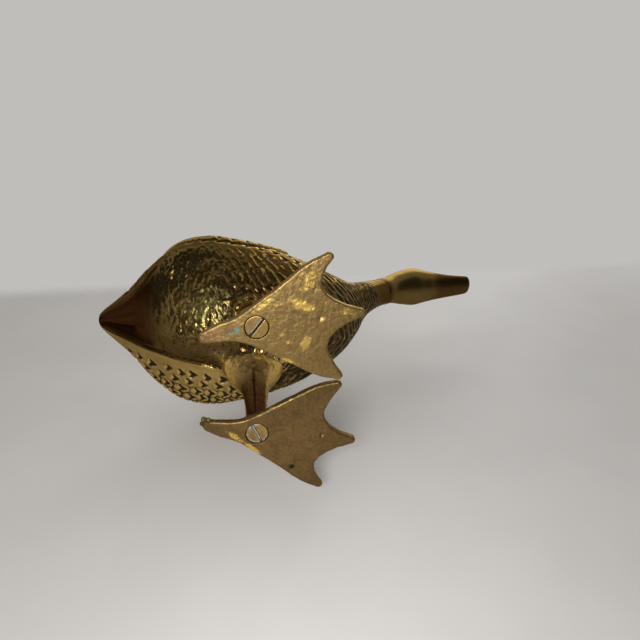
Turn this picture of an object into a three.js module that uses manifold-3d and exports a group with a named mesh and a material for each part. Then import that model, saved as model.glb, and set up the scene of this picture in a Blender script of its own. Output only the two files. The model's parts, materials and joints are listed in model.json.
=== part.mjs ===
import * as THREE from 'three';
import { mergeVertices } from 'three/addons/utils/BufferGeometryUtils.js';
import initManifold from 'manifold-3d';

// A cast brass duck standing on two webbed feet, each held by one countersunk screw.
// Millimetres, +Z up, soles at z = 0, +X towards the bill, +Y the bird's left side.
// While the pieces are made, x = 0 is the axis of the two foot screws.

const { clamp, degToRad, lerp, smoothstep } = THREE.MathUtils;
const manifold = await initManifold();
manifold.setup();

// Fits
const brazeGap = 0.3;        // joint left for the braze between two castings
const runGap = 0.3;          // gap between pieces that can turn on each other
const seamGap = 0.2;         // gap between the two body halves

// Castings
const wall = 3;              // thickness of the hollow body
const wingRise = 1.8;        // folded wing standing above the back
const bellyTurn = degToRad(20);  // how far round to the right the belly hangs
const eyeRadius = 2.1;
const eyeSink = 1.0;         // depth of the eye's centre below the skin

// Legs and feet
const stance = 24.2;         // screw axis from the centre plane
const hip = [-1.5, 10];      // end of the leg's axis inside the body, x and y
const hipHeight = 50;        // top of the leg's spigot
const spigotFrom = 28;       // height where the spigot starts inside the thigh
const spigotRadius = 4.5;
const plate = 3.2;           // thickness of the web
const edgeRound = 0.7;       // rounding of the plate's edge
const ankleTop = 5.6;        // flat top of the boss under the leg
const ankleRadius = 6.2;
const toeRib = 2.3;          // radius of a toe's rib at the ankle
const toeTipRib = 1.3;       // and at its tip
const tipRadius = 1.7;       // round end of a toe
const heelRadius = 2.4;      // round end of the heel
const toeGap = 0.9;          // between the two inner toes
// Left foot seen from above, x and y from its screw: centres of the round ends, deepest points of the webs
const heel = [-20, -4.2];
const toeTips = [[33.8, tipRadius + toeGap / 2 - stance], [41.4, 5.6], [27.6, 28.2]];
const webs = [[28.3, -9.1], [25.2, 16.2]];

// Foot screw
const headRadius = 4.6;
const headLand = 0.4;        // straight edge of the head below its cone
const headSink = 0.35;       // head face above the sole
const shankRadius = 2.35;
const screwLength = 12.5;
const slotWidth = 1.3;
const slotDepth = 1.2;
const slotAngle = { left: 65, right: -54 };
const screwTop = headSink + screwLength;
const coneTop = headSink + headLand + headRadius - shankRadius;
const boreRadius = shankRadius + runGap;

// Lines of the bird from the tail's tip to the bill's tip. Each row is a section square to the
// spine: spine x, spine z, half width, rise of the back, drop of the flank, belly half width, belly drop.
const lines = [
  [-81.5, 75.0, 0.0, 0.0, 0.0, 0.0, 0.0],
  [-80.4, 74.7, 3.4, 2.4, 1.6, 0.0, 0.0],
  [-77.0, 73.6, 7.0, 5.0, 2.6, 1.0, 0.3],
  [-71.0, 71.8, 12.0, 9.6, 4.0, 2.0, 0.4],
  [-62.5, 69.6, 19.6, 16.0, 5.6, 4.0, 0.8],
  [-52.0, 67.0, 31.0, 24.2, 8.4, 11.0, 5.5],
  [-39.0, 66.2, 41.0, 31.6, 11.8, 18.0, 19.5],
  [-24.0, 66.8, 44.6, 36.8, 14.0, 21.0, 28.0],
  [-8.0, 68.4, 42.6, 37.6, 16.5, 24.5, 32.0],
  [8.0, 70.8, 39.0, 35.0, 20.0, 28.0, 33.6],
  [22.0, 74.8, 34.4, 30.6, 25.0, 28.0, 31.0],
  [34.0, 80.8, 27.8, 24.6, 25.0, 22.0, 26.0],
  [44.5, 88.8, 21.0, 19.0, 20.6, 16.0, 19.0],
  [53.5, 97.6, 15.2, 14.3, 15.2, 11.0, 12.0],
  [62.0, 106.5, 11.6, 11.2, 11.6, 8.0, 8.0],
  [71.0, 115.3, 9.7, 9.6, 9.7, 6.0, 6.0],
  [80.5, 123.3, 8.7, 8.7, 8.8, 6.0, 6.0],
  [90.5, 130.0, 8.4, 8.7, 8.6, 6.0, 6.0],
  [100.5, 135.0, 10.2, 10.8, 10.0, 7.0, 7.0],
  [110.5, 137.8, 12.4, 13.0, 10.8, 7.0, 7.0],
  [120.0, 138.6, 10.8, 10.6, 8.6, 6.0, 6.0],
  [128.5, 139.0, 9.2, 6.6, 5.8, 4.0, 4.0],
  [138.0, 140.0, 7.9, 4.0, 3.8, 3.0, 2.0],
  [147.0, 141.4, 6.9, 2.9, 3.0, 2.0, 1.0],
  [152.6, 142.4, 5.6, 2.2, 2.4, 2.0, 1.0],
  [154.5, 142.8, 0.0, 0.0, 0.0, 0.0, 0.0],
];
const billTip = lines.length - 1;
const neckJoint = 13;        // row where the neck casting starts
const eyeRow = 19.1;         // place of the eyes, a row and an angle from straight down
const eyeAngle = degToRad(127);
const cavityStart = 5.7;     // the tail is solid behind this row
const centreX = (lines[0][0] + lines[billTip][0]) / 2;

// Folded wing from its tip on the tail to the shoulder: row of the lines, angles of its lower and
// upper edges in radians from straight down
const wingLines = [
  [2.7, 2.84, 2.94],
  [3.7, 2.5, 2.99],
  [4.8, 2.02, 3.0],
  [6.2, 1.68, 2.95],
  [7.7, 1.58, 2.82],
  [8.9, 1.62, 2.62],
  [9.7, 1.74, 2.42],
  [10.1, 1.95, 2.18],
];

// Left leg from the ankle up: height, radius
const legLines = [
  [ankleTop + runGap, 4.7],
  [13, 4.8],
  [21, 5.2],
  [28, 6.2],
  [33, 8.2],
  [37.5, 11.2],
  [42, 14.2],
  [47, 16.2],
  [52, 17.2],
  [57, 17.6],
];
const rightFlare = 0.4;       // spread of the right thigh beside the left one's

// Value of one column of a table of lines, with a smooth curve through its rows.
function along(table, column, t) {
  const last = table.length - 1;
  const row = clamp(Math.floor(t), 0, last - 1);
  const f = t - row;
  const [a, b, c, d] = [-1, 0, 1, 2].map((k) => table[clamp(row + k, 0, last)][column]);
  const slope = (c - a) / 2;
  const bend = a - 2.5 * b + 2 * c - 0.5 * d;
  const twist = (d - a) / 2 + 1.5 * (b - c);
  return b + f * (slope + f * (bend + f * twist));
}

function spineAt(t) {
  const step = 0.01;
  const dx = along(lines, 0, t + step) - along(lines, 0, t - step);
  const dz = along(lines, 1, t + step) - along(lines, 1, t - step);
  const long = Math.hypot(dx, dz);
  return { x: along(lines, 0, t), z: along(lines, 1, t), tx: dx / long, tz: dz / long };
}

// Distance from the spine to the skin. The angle is 0 straight down, positive on the bird's left and
// half a turn at the back. The belly hangs to the right and rounds into the flank there.
function skinRadius(t, angle) {
  const right = angle < 0;
  const side = Math.abs(Math.sin(angle));
  const drop = Math.cos(angle);
  const half = Math.max(along(lines, 2, t), 0.01);
  if (drop <= 0) {
    const rise = Math.max(along(lines, 3, t), 0.01);
    const back = (side / half) ** 2.2 + (-drop / rise) ** 2.2;
    return back ** (-1 / 2.2);
  }
  const depth = Math.max(along(lines, 4, t), 0.01);
  const square = right ? 0 : smoothstep(t, 3, 6) * (1 - smoothstep(t, 8, 10.5));
  const power = 2.2 + 1.4 * square;
  const flank = ((side / half) ** power + (drop / depth) ** power) ** (-1 / power);
  const hollow = smoothstep(t, 0.5, 2) * (1 - smoothstep(t, 4, 5.4));
  const rim = right ? 0.72 : 0.58 - 0.048 * t;
  const dent = 0.65 * depth * hollow * (1 - smoothstep((side * flank) / half, rim - 0.2, rim + 0.05));
  const tail = flank - dent;
  const hang = smoothstep(t, 4.5, 6) * (1 - smoothstep(t, 9, 12));
  const turn = angle + bellyTurn * hang;
  const narrow = Math.max(along(lines, 5, t), 0.01);
  const bellyHalf = turn < 0 ? lerp(narrow, Math.max(1.05 * half, narrow), hang) : narrow;
  const bellyDepth = Math.max(along(lines, 6, t), 0.01);
  const belly = 1 / Math.hypot(Math.sin(turn) / bellyHalf, Math.cos(turn) / bellyDepth);
  const soft = (0.9 + 4 * hang * smoothstep(-angle, 0.1, 0.7)) * smoothstep(t, 2, 5);
  return 0.5 * (tail + belly + Math.hypot(tail - belly, soft * Math.sqrt(drop)));
}

// Point on the skin, or at a height above it.
function skinPoint(t, angle, lift) {
  const s = spineAt(t);
  const r = Math.max(skinRadius(t, angle) + lift, 0.3);
  const up = -r * Math.cos(angle);
  return new THREE.Vector3(s.x - s.tz * up, r * Math.sin(angle), s.z + s.tx * up);
}

// Closed surface through rings of points, with a fan to a point at each end.
function closedLoft(rings, startPoint, endPoint) {
  const count = rings[0].length;
  const points = [...rings.flat(), startPoint, endPoint];
  const faces = [];
  const start = points.length - 2;
  const end = points.length - 1;
  const lastRing = (rings.length - 1) * count;
  for (let j = 0; j < count; j += 1) {
    const k = (j + 1) % count;
    for (let i = 0; i < rings.length - 1; i += 1) {
      const here = i * count;
      const next = here + count;
      faces.push(here + j, next + j, next + k, here + j, next + k, here + k);
    }
    faces.push(start, j, k, end, lastRing + k, lastRing + j);
  }
  const geometry = new THREE.BufferGeometry().setFromPoints(points);
  geometry.setIndex(faces);
  return geometry;
}

// The bird's skin between two rows of the lines, moved in by inset.
function skin(from, to, inset, steps, around) {
  const tip = to === billTip;
  const rings = [];
  const first = from === 0 ? 0.35 : from;
  const last = tip ? to - 0.2 : to;
  for (let i = 0; i <= steps; i += 1) {
    const t = lerp(first, last, i / steps);
    const half = along(lines, 2, t);
    const ring = [];
    for (let j = 0; j < around; j += 1) {
      const turn = (2 * Math.PI * (j + 0.5)) / around;
      const down = Math.cos(turn) > 0;
      const tall = down ? Math.max(along(lines, 4, t), along(lines, 6, t)) : along(lines, 3, t);
      const angle = Math.atan2(half * Math.sin(turn), tall * Math.cos(turn));
      ring.push(skinPoint(t, angle, -inset));
    }
    rings.push(ring);
  }
  const ends = [spineAt(from), spineAt(to)].map((s) => new THREE.Vector3(s.x, 0, s.z));
  return closedLoft(rings, ends[0], ends[1]);
}

// Left wing as a raised panel let a little way into the back.
function wing(steps, across) {
  const rings = [];
  for (let i = 0; i <= steps; i += 1) {
    const f = ((wingLines.length - 1) * i) / steps;
    const [t, lower, upper] = [0, 1, 2].map((column) => along(wingLines, column, f));
    const ring = [];
    for (let j = 0; j <= across; j += 1) {
      const edge = Math.abs((2 * j) / across - 1) ** 6;
      ring.push(skinPoint(t, lerp(lower, upper, j / across), wingRise * (1 - 0.45 * edge)));
    }
    for (const angle of [upper, (lower + upper) / 2, lower]) ring.push(skinPoint(t, angle, -wall / 2));
    rings.push(ring);
  }
  const middle = (ring) => ring.reduce((sum, p) => sum.add(p), new THREE.Vector3()).divideScalar(ring.length);
  return closedLoft(rings, middle(rings[0]), middle(rings[steps]));
}

// Point of the left leg's axis at a height. The leg is upright at the ankle and leans in to the hip.
function legAxis(z) {
  const f = ((z - legLines[0][0]) / (hipHeight - legLines[0][0])) ** 1.4;
  return new THREE.Vector3(lerp(0, hip[0], f), lerp(stance, hip[1], f), z);
}

// Solid from a surface, turned outward if its faces point in.
function solid(geometry) {
  const bare = geometry.clone();
  bare.deleteAttribute('normal');
  bare.deleteAttribute('uv');
  const shared = mergeVertices(bare, 1e-4);
  const data = {
    numProp: 3,
    vertProperties: new Float32Array(shared.attributes.position.array),
    triVerts: new Uint32Array(shared.index.array),
  };
  const made = new manifold.Manifold(new manifold.Mesh(data));
  if (made.volume() > 0) return made;
  data.triVerts.reverse();
  return new manifold.Manifold(new manifold.Mesh(data));
}

function cylinder(radius, from, to, segments) {
  const length = new THREE.Vector3().subVectors(to, from).length();
  const geometry = new THREE.CylinderGeometry(radius, radius, length, segments);
  const turn = new THREE.Quaternion().setFromUnitVectors(
    new THREE.Vector3(0, 1, 0),
    new THREE.Vector3().subVectors(to, from).normalize(),
  );
  geometry.applyQuaternion(turn);
  geometry.translate((from.x + to.x) / 2, (from.y + to.y) / 2, (from.z + to.z) / 2);
  return solid(geometry);
}

// Turned solid on the left screw's axis from points of radius and height.
function turned(profile, segments) {
  const points = profile.map(([r, z]) => new THREE.Vector2(r, z));
  const geometry = new THREE.LatheGeometry([...points, points[0]], segments);
  geometry.rotateX(Math.PI / 2);
  geometry.translate(0, stance, 0);
  return solid(geometry);
}

// A piece made for the bird's left side, and the same piece on its right side
const asLeft = (piece) => piece;
const asRight = (piece) => piece.mirror([0, 1, 0]);

// Body: hollow, cast in two halves that are brazed on the centre plane
const nextRow = lines[neckJoint + 1];
const jointLength = Math.hypot(nextRow[0] - lines[neckJoint][0], nextRow[1] - lines[neckJoint][1]);
const bodySkin = solid(skin(0, neckJoint - brazeGap / jointLength, 0, 36, 44));
const cavity = solid(skin(cavityStart, neckJoint + 0.2, wall, 15, 24));
const leftWing = solid(wing(20, 9));
const shell = bodySkin.add(leftWing).add(asRight(leftWing)).subtract(cavity);
const halfSpace = new THREE.BoxGeometry(400, 200, 400);
halfSpace.translate(0, 100 + seamGap / 2, 0);

function halfBody(onSide) {
  const socket = cylinder(spigotRadius + brazeGap, legAxis(spigotFrom), legAxis(hipHeight + 4), 24);
  return shell.intersect(onSide(solid(halfSpace))).subtract(onSide(socket));
}

// Neck and head: one casting with a plug that closes the body's neck opening
const eye = new THREE.SphereGeometry(eyeRadius, 12, 8);
eye.translate(...skinPoint(eyeRow, eyeAngle, -eyeSink).toArray());
const leftEye = solid(eye);
const neckHead = solid(skin(neckJoint, billTip, 0, 26, 28))
  .add(solid(skin(neckJoint - 0.45, neckJoint + 0.3, wall + brazeGap, 2, 24)))
  .add(leftEye)
  .add(asRight(leftEye));

// Leg: shank and thigh, saddled to the body, with a spigot through the body's wall. A thigh spreads
// above its shank by the flare.
function legSolid(onSide, flare) {
  const rings = [];
  const steps = 14;
  const around = 24;
  const bottom = legLines[0][0];
  const [shankHeight, shank] = legLines[1];
  const top = legLines[legLines.length - 1][0];
  for (let i = 0; i <= steps; i += 1) {
    const t = ((legLines.length - 1) * i) / steps;
    const z = along(legLines, 0, t);
    const spread = z < shankHeight ? 1 : flare;
    const radius = lerp(shank, along(legLines, 1, t), spread);
    const middle = legAxis(z);
    const ring = [];
    for (let j = 0; j < around; j += 1) {
      const turn = (2 * Math.PI * j) / around;
      ring.push(new THREE.Vector3(radius * Math.cos(turn), radius * Math.sin(turn), 0).add(middle));
    }
    rings.push(ring);
  }
  const bare = solid(closedLoft(rings, legAxis(bottom), legAxis(top))).intersect(solid(halfSpace));
  const spigot = cylinder(spigotRadius, legAxis(spigotFrom), legAxis(hipHeight), 24);
  const bore = turned([[0, 0], [boreRadius, 0], [boreRadius, screwTop + 1], [0, screwTop + 1]], 24);
  return onSide(bare)
    .subtract(solid(skin(0, neckJoint, -brazeGap, 36, 44)))
    .add(onSide(spigot))
    .subtract(onSide(bore));
}

// Foot: webbed plate with toe ribs, an ankle boss and a countersunk hole
// Point on the round end of a toe or of the heel
function onTip([x, y], radius, degrees) {
  const turn = degToRad(degrees);
  return new THREE.Vector2(x + radius * Math.cos(turn), y + radius * Math.sin(turn));
}

function footOutline() {
  const [inner, middle, outer] = toeTips;
  const outline = new THREE.Shape();
  const round = (centre, radius, from, to) => {
    outline.absarc(centre[0], centre[1], radius, degToRad(from), degToRad(to), false);
  };
  const curve = (x, y, end) => outline.quadraticCurveTo(x, y, end.x, end.y);
  const [innerWeb, outerWeb] = webs.map(([x, y]) => new THREE.Vector2(x, y));
  const start = onTip(heel, heelRadius, 270);
  outline.moveTo(start.x, start.y);
  outline.splineThru([
    new THREE.Vector2(-8, -6.1),
    new THREE.Vector2(0.8, -9.3),
    new THREE.Vector2(12, -15.2),
    new THREE.Vector2(inner[0] - 9.3, inner[1] + 0.5),
    onTip(inner, tipRadius, -98),
  ]);
  round(inner, tipRadius, -98, 30);
  curve(innerWeb.x + 1.8, innerWeb.y - 5.5, innerWeb);
  curve(innerWeb.x - 0.2, innerWeb.y + 8, onTip(middle, tipRadius, -70));
  round(middle, tipRadius, -70, 95);
  curve(outerWeb.x + 3, outerWeb.y - 6, outerWeb);
  curve(outerWeb.x - 1, outerWeb.y + 5.5, onTip(outer, tipRadius, -17));
  round(outer, tipRadius, -17, 108);
  outline.splineThru([
    new THREE.Vector2(18.4, 25.1),
    new THREE.Vector2(9.6, 17.6),
    new THREE.Vector2(0.8, 10.7),
    new THREE.Vector2(-8, 4.1),
    new THREE.Vector2(-15, 1.2),
    onTip(heel, heelRadius, 112),
  ]);
  round(heel, heelRadius, 112, 250);
  return outline;
}

// Tapered rib on the web's top from the ankle to the end of a toe, a little lower at its tip
function toeRibSolid([x, y]) {
  const length = Math.hypot(x, y);
  const profile = [
    new THREE.Vector2(0, 0),
    new THREE.Vector2(toeRib, 0),
    new THREE.Vector2(toeTipRib, length - toeTipRib),
    new THREE.Vector2(toeTipRib * 0.7, length - toeTipRib * 0.3),
    new THREE.Vector2(0, length),
    new THREE.Vector2(0, 0),
  ];
  const geometry = new THREE.LatheGeometry(profile, 12);
  geometry.rotateZ(-Math.PI / 2);
  geometry.rotateY(Math.atan2(toeRib - toeTipRib, length));
  geometry.rotateZ(Math.atan2(y, x));
  geometry.translate(0, stance, plate);
  return solid(geometry);
}

function footSolid() {
  const web = new THREE.ExtrudeGeometry(footOutline(), {
    depth: plate - 2 * edgeRound,
    bevelThickness: edgeRound,
    bevelSize: edgeRound,
    bevelOffset: -edgeRound,
    bevelSegments: 2,
    curveSegments: 4,
  });
  web.translate(0, stance, edgeRound);
  const boss = turned([
    [0, plate / 2],
    [ankleRadius + 2.2, plate / 2],
    [ankleRadius + 2.2, plate],
    [ankleRadius, ankleTop],
    [0, ankleTop],
  ], 32);
  const hole = turned([
    [0, -1],
    [headRadius + runGap, -1],
    [headRadius + runGap, headSink + headLand],
    [boreRadius, coneTop],
    [boreRadius, ankleTop + 1],
    [0, ankleTop + 1],
  ], 32);
  const above = turned([[0, ankleTop], [20, ankleTop], [20, ankleTop + 9], [0, ankleTop + 9]], 16);
  let foot = solid(web).add(boss);
  for (const end of [...toeTips, [heel[0] + 1, heel[1]]]) foot = foot.add(toeRibSolid(end));
  return foot.subtract(above).subtract(hole);
}

// Screw: slotted countersunk head, plain shank
function screwSolid(angle) {
  const blank = turned([
    [0, headSink],
    [headRadius, headSink],
    [headRadius, headSink + headLand],
    [shankRadius, coneTop],
    [shankRadius, screwTop - 0.8],
    [shankRadius - 0.8, screwTop],
    [0, screwTop],
  ], 32);
  const slot = new THREE.BoxGeometry(3 * headRadius, slotWidth, 2 * slotDepth);
  slot.rotateZ(degToRad(angle));
  slot.translate(0, stance, headSink);
  return blank.subtract(solid(slot));
}

// Castings in aged brass; the soles and screws are duller than the polished body
const bodyBrass = { color: 0x8a6a2c, roughness: 0.28, metalness: 1 };
const headBrass = { color: 0x7d5d2a, roughness: 0.3, metalness: 1 };
const legBrass = { color: 0x8f6f33, roughness: 0.42, metalness: 1 };
const footBrass = { color: 0x93733a, roughness: 0.5, metalness: 1 };
const screwBrass = { color: 0x86693a, roughness: 0.45, metalness: 1 };
const duck = new THREE.Group();

function place(name, piece, brass) {
  const data = piece.translate([-centreX, 0, 0]).getMesh();
  const geometry = new THREE.BufferGeometry();
  geometry.setAttribute('position', new THREE.BufferAttribute(new Float32Array(data.vertProperties), 3));
  geometry.setIndex(new THREE.BufferAttribute(new Uint32Array(data.triVerts), 1));
  geometry.computeVertexNormals();
  const mesh = new THREE.Mesh(geometry, new THREE.MeshStandardMaterial(brass));
  mesh.name = name;
  duck.add(mesh);
}

const foot = footSolid();
place('body_left_half', halfBody(asLeft), bodyBrass);
place('body_right_half', halfBody(asRight), bodyBrass);
place('neck_head', neckHead, headBrass);
place('left_leg', legSolid(asLeft, 1), legBrass);
place('right_leg', legSolid(asRight, rightFlare), legBrass);
place('left_foot', foot, footBrass);
place('right_foot', asRight(foot), footBrass);
place('left_foot_screw', screwSolid(slotAngle.left), screwBrass);
place('right_foot_screw', asRight(screwSolid(-slotAngle.right)), screwBrass);

export default duck;
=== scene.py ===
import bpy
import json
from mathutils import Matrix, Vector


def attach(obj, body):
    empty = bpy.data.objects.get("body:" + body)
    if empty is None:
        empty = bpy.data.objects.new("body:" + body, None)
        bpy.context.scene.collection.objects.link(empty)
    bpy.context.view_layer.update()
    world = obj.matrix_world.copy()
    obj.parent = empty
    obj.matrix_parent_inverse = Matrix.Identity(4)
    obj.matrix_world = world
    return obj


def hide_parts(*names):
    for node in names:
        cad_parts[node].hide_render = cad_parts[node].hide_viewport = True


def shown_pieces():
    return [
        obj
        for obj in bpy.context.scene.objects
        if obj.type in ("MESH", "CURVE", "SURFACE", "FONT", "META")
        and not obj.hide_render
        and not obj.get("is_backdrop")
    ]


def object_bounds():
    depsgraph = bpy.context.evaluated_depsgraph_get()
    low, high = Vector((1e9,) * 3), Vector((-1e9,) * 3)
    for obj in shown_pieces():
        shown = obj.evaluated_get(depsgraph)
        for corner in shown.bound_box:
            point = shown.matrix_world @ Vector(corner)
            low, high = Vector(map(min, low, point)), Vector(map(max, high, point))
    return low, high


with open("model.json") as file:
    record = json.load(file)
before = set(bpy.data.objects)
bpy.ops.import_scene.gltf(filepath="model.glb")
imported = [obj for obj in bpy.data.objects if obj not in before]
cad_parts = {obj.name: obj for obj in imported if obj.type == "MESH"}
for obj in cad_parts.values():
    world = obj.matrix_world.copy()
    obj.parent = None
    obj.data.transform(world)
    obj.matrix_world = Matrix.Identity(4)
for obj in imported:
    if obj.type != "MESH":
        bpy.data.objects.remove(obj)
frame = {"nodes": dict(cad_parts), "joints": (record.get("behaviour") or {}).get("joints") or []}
CAD_BOX = [list(corner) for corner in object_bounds()]

import json
import math
from functools import partial

import bmesh
import bpy
import numpy as np
from bpy.props import FloatProperty, FloatVectorProperty, IntProperty, PointerProperty
from mathutils import Matrix, Vector

bl_info = {
    "name": "Cast brass duck",
    "version": (1, 0, 0),
    "blender": (4, 5, 0),
    "location": "3D View > Sidebar > Duck",
    "description": "A brass duck with feather relief, webbed feet and foot screws, dressed round its solids",
    "category": "Object",
}

MM = 0.001
JOINTS = {joint["name"]: joint for joint in frame["joints"]}
SCREW_X, STANCE, _ = JOINTS["left_foot_swivel"]["pos_m"]
SIDES = {"left": 1, "right": -1}
ACROSS = np.array((1.0, -1.0, 1.0))

# Lines of the bird from the tail's tip to the bill's tip. Each row is a section square to the
# spine: spine x from the screws, spine z, half width, rise of the back, drop of the flank,
# belly half width, belly drop, in millimetres.
LINES = MM * np.array((
    (-81.5, 75.0, 0.0, 0.0, 0.0, 0.0, 0.0),
    (-80.4, 74.7, 3.4, 2.4, 1.6, 0.0, 0.0),
    (-77.0, 73.6, 7.0, 5.0, 2.6, 1.0, 0.3),
    (-71.0, 71.8, 12.0, 9.6, 4.0, 2.0, 0.4),
    (-62.5, 69.6, 19.6, 16.0, 5.6, 4.0, 0.8),
    (-52.0, 67.0, 31.0, 24.2, 8.4, 11.0, 5.5),
    (-39.0, 66.2, 41.0, 31.6, 11.8, 18.0, 19.5),
    (-24.0, 66.8, 44.6, 36.8, 14.0, 21.0, 28.0),
    (-8.0, 68.4, 42.6, 37.6, 16.5, 24.5, 32.0),
    (8.0, 70.8, 39.0, 35.0, 20.0, 28.0, 33.6),
    (22.0, 74.8, 34.4, 30.6, 25.0, 28.0, 31.0),
    (34.0, 80.8, 27.8, 24.6, 25.0, 22.0, 26.0),
    (44.5, 88.8, 21.0, 19.0, 20.6, 16.0, 19.0),
    (53.5, 97.6, 15.2, 14.3, 15.2, 11.0, 12.0),
    (62.0, 106.5, 11.6, 11.2, 11.6, 8.0, 8.0),
    (71.0, 115.3, 9.7, 9.6, 9.7, 6.0, 6.0),
    (80.5, 123.3, 8.7, 8.7, 8.8, 6.0, 6.0),
    (90.5, 130.0, 8.4, 8.7, 8.6, 6.0, 6.0),
    (100.5, 135.0, 10.2, 10.8, 10.0, 7.0, 7.0),
    (110.5, 137.8, 12.4, 13.0, 10.8, 7.0, 7.0),
    (120.0, 138.6, 10.8, 10.6, 8.6, 6.0, 6.0),
    (128.5, 139.0, 9.2, 6.6, 5.8, 4.0, 4.0),
    (138.0, 140.0, 7.9, 4.0, 3.8, 3.0, 2.0),
    (147.0, 141.4, 6.9, 2.9, 3.0, 2.0, 1.0),
    (152.6, 142.4, 5.6, 2.2, 2.4, 2.0, 1.0),
    (154.5, 142.8, 0.0, 0.0, 0.0, 0.0, 0.0),
))
SPINE_X, SPINE_Z, HALF_WIDTH, RISE, DROP, BELLY_HALF, BELLY_DROP = range(7)
LINES[:, SPINE_X] += SCREW_X
BILL_TIP = len(LINES) - 1
NECK_JOINT = 13
CAVITY_START = 5.7
HEAD_START = 16.4
# Places on the head: row, angle in radians from straight down
EYE = 19.1, math.radians(127)
NOSTRIL = 22.0, 2.3
NAIL = 24.45, math.pi
EYE_SINK = 1.0 * MM

# Rows over which a zone of the skin begins, and rows over which it ends
TAIL_HOLLOW = (0.5, 2), (4, 5.4)
SQUARE_FLANK = (3, 6), (8, 10.5)
HANGING_BELLY = (4.5, 6), (9, 12)
ROUGH_BELLY = (4.9, 5.9), (10, 11)
BEADED_RIM = {1: ((1.0, 2.2), (7.0, 8.6)), -1: ((1.0, 2.2), (4.8, 5.6))}
TAIL_FEATHERS = (0.4, 1.2), (4.4, 5.2)
SCALE_FEATHERS = (3.3, 3.9), (10.2, 11.2)
NECK_STROKES = (10, 11), (HEAD_START - 1.8, HEAD_START - 1.0)
COLLAR = (HEAD_START - 1.7, HEAD_START - 0.9), (HEAD_START, HEAD_START + 0.4)
CHEEK = (HEAD_START, 17.9), (18.0, 19.4)
MOUTH = (20.4, 20.8), (24.6, 24.85)
# Rows over which the rim gives way to the breast, and over which the bill begins
RIM_FADE = 7.8, 9.6
BILL_START = 20.2, 21.2
# Rows at which the wing's second tier of feathers and its covering feathers begin
TIER_START = 5.3, 5.38
COVERS_START = 7.3, 7.36
TIER_STEP = 0.45 * MM
FLIGHT_QUILLS, TAIL_QUILLS = 7, 5
STROKE_LEAN = math.radians(64)
# Power of the curve of a section, where 2 is an ellipse, and what the left flank has on top of it
ROUNDNESS, SQUARENESS = 2.2, 1.4
THINNEST = 0.01 * MM

# Folded wing from its tip on the tail to the shoulder: row of the lines, angles of its lower and
# upper edges in radians from straight down
WING_LINES = np.array((
    (2.7, 2.84, 2.94), (3.7, 2.5, 2.99), (4.8, 2.02, 3.0), (6.2, 1.68, 2.95),
    (7.7, 1.58, 2.82), (8.9, 1.62, 2.62), (9.7, 1.74, 2.42), (10.1, 1.95, 2.18),
))

# Rim that parts the flank from the belly and from the hollow under the tail: row, distance from the
# middle in millimetres
RIM_LINES = np.array((
    (0.0, 0.5), (1.0, 1.8), (2.0, 3.4), (3.0, 5.3), (4.0, 7.8), (5.0, 10.6),
    (6.0, 14.3), (7.0, 18.2), (8.0, 21.0), (9.0, 23.0), (10.0, 24.0),
))

# Left leg from the ankle up: height, radius, in millimetres. The right thigh spreads less.
LEG_LINES = MM * np.array((
    (5.9, 4.7), (13, 4.8), (21, 5.2), (28, 6.2), (33, 8.2),
    (37.5, 11.2), (42, 14.2), (47, 16.2), (52, 17.2), (57, 17.6),
))
RIGHT_FLARE = 0.4
BORE, BORE_TOP = 2.65 * MM, 13.85 * MM
BELLY_TURN = math.radians(20)
HIP = MM * np.array((-1.5, 10.0))
HIP_HEIGHT = 50 * MM
WALL = 3 * MM
BRAZE_GAP = 0.3 * MM
# Places on the belly, from between the screws, and their reach: rougher lumps with brighter brass, a painted
# highlight, on its right and behind the left thigh, and an olive sheen, a painted highlight, on its right
GOLD_RIDGED_HIGHLIGHT = MM * np.array((-29.0, -14.0, 45.0)), 17 * MM
THIGH_RIDGED_HIGHLIGHT = MM * np.array((-17.0, 6.0, 43.0)), 7 * MM
OLIVE_SHEEN = MM * np.array((-21.0, -18.0, 44.0)), 15 * MM

LengthProperty = partial(FloatProperty, subtype="DISTANCE")
ColourProperty = partial(FloatVectorProperty, subtype="COLOR", min=0, max=1)


class DuckForm(bpy.types.PropertyGroup):
    """Sizes of the relief and of the screws."""

    grid: LengthProperty(
        name="Grid", description="Spacing of the points on the cast skin", default=0.42 * MM)
    wing_rise: LengthProperty(
        name="Wing rise", description="Height of the folded wing above the back", default=1.8 * MM)
    eye_radius: LengthProperty(
        name="Eye radius", description="Radius of the eye's dome", default=2.1 * MM)
    scale_length: LengthProperty(
        name="Scale length", description="Length of a scale feather along the body", default=6.8 * MM)
    scale_width: LengthProperty(
        name="Scale width", description="Width of a row of scale feathers", default=4.9 * MM)
    scale_depth: LengthProperty(
        name="Scale depth", description="Depth of the mark at the root of a scale feather", default=0.8 * MM)
    stroke_depth: LengthProperty(
        name="Stroke depth", description="Depth of the long strokes on the breast and neck", default=0.6 * MM)
    quill_depth: LengthProperty(
        name="Quill depth", description="Depth of the lines between the long feathers", default=0.55 * MM)
    lump_height: LengthProperty(
        name="Lump height", description="Height of the lumps of the rough casting", default=0.7 * MM)
    lump_size: LengthProperty(
        name="Lump size", description="Distance between the lumps of the rough casting", default=5 * MM)
    seed: IntProperty(
        name="Seed", description="Seed of the uneven hand work", default=7, min=0)
    head_radius: LengthProperty(
        name="Screw head radius", description="Radius of a foot screw's head", default=4.6 * MM)
    slot_width: LengthProperty(
        name="Slot width", description="Width of the slot in a foot screw", default=1.3 * MM)
    slot_depth: LengthProperty(
        name="Slot depth", description="Depth of the slot in a foot screw", default=1.2 * MM)


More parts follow.
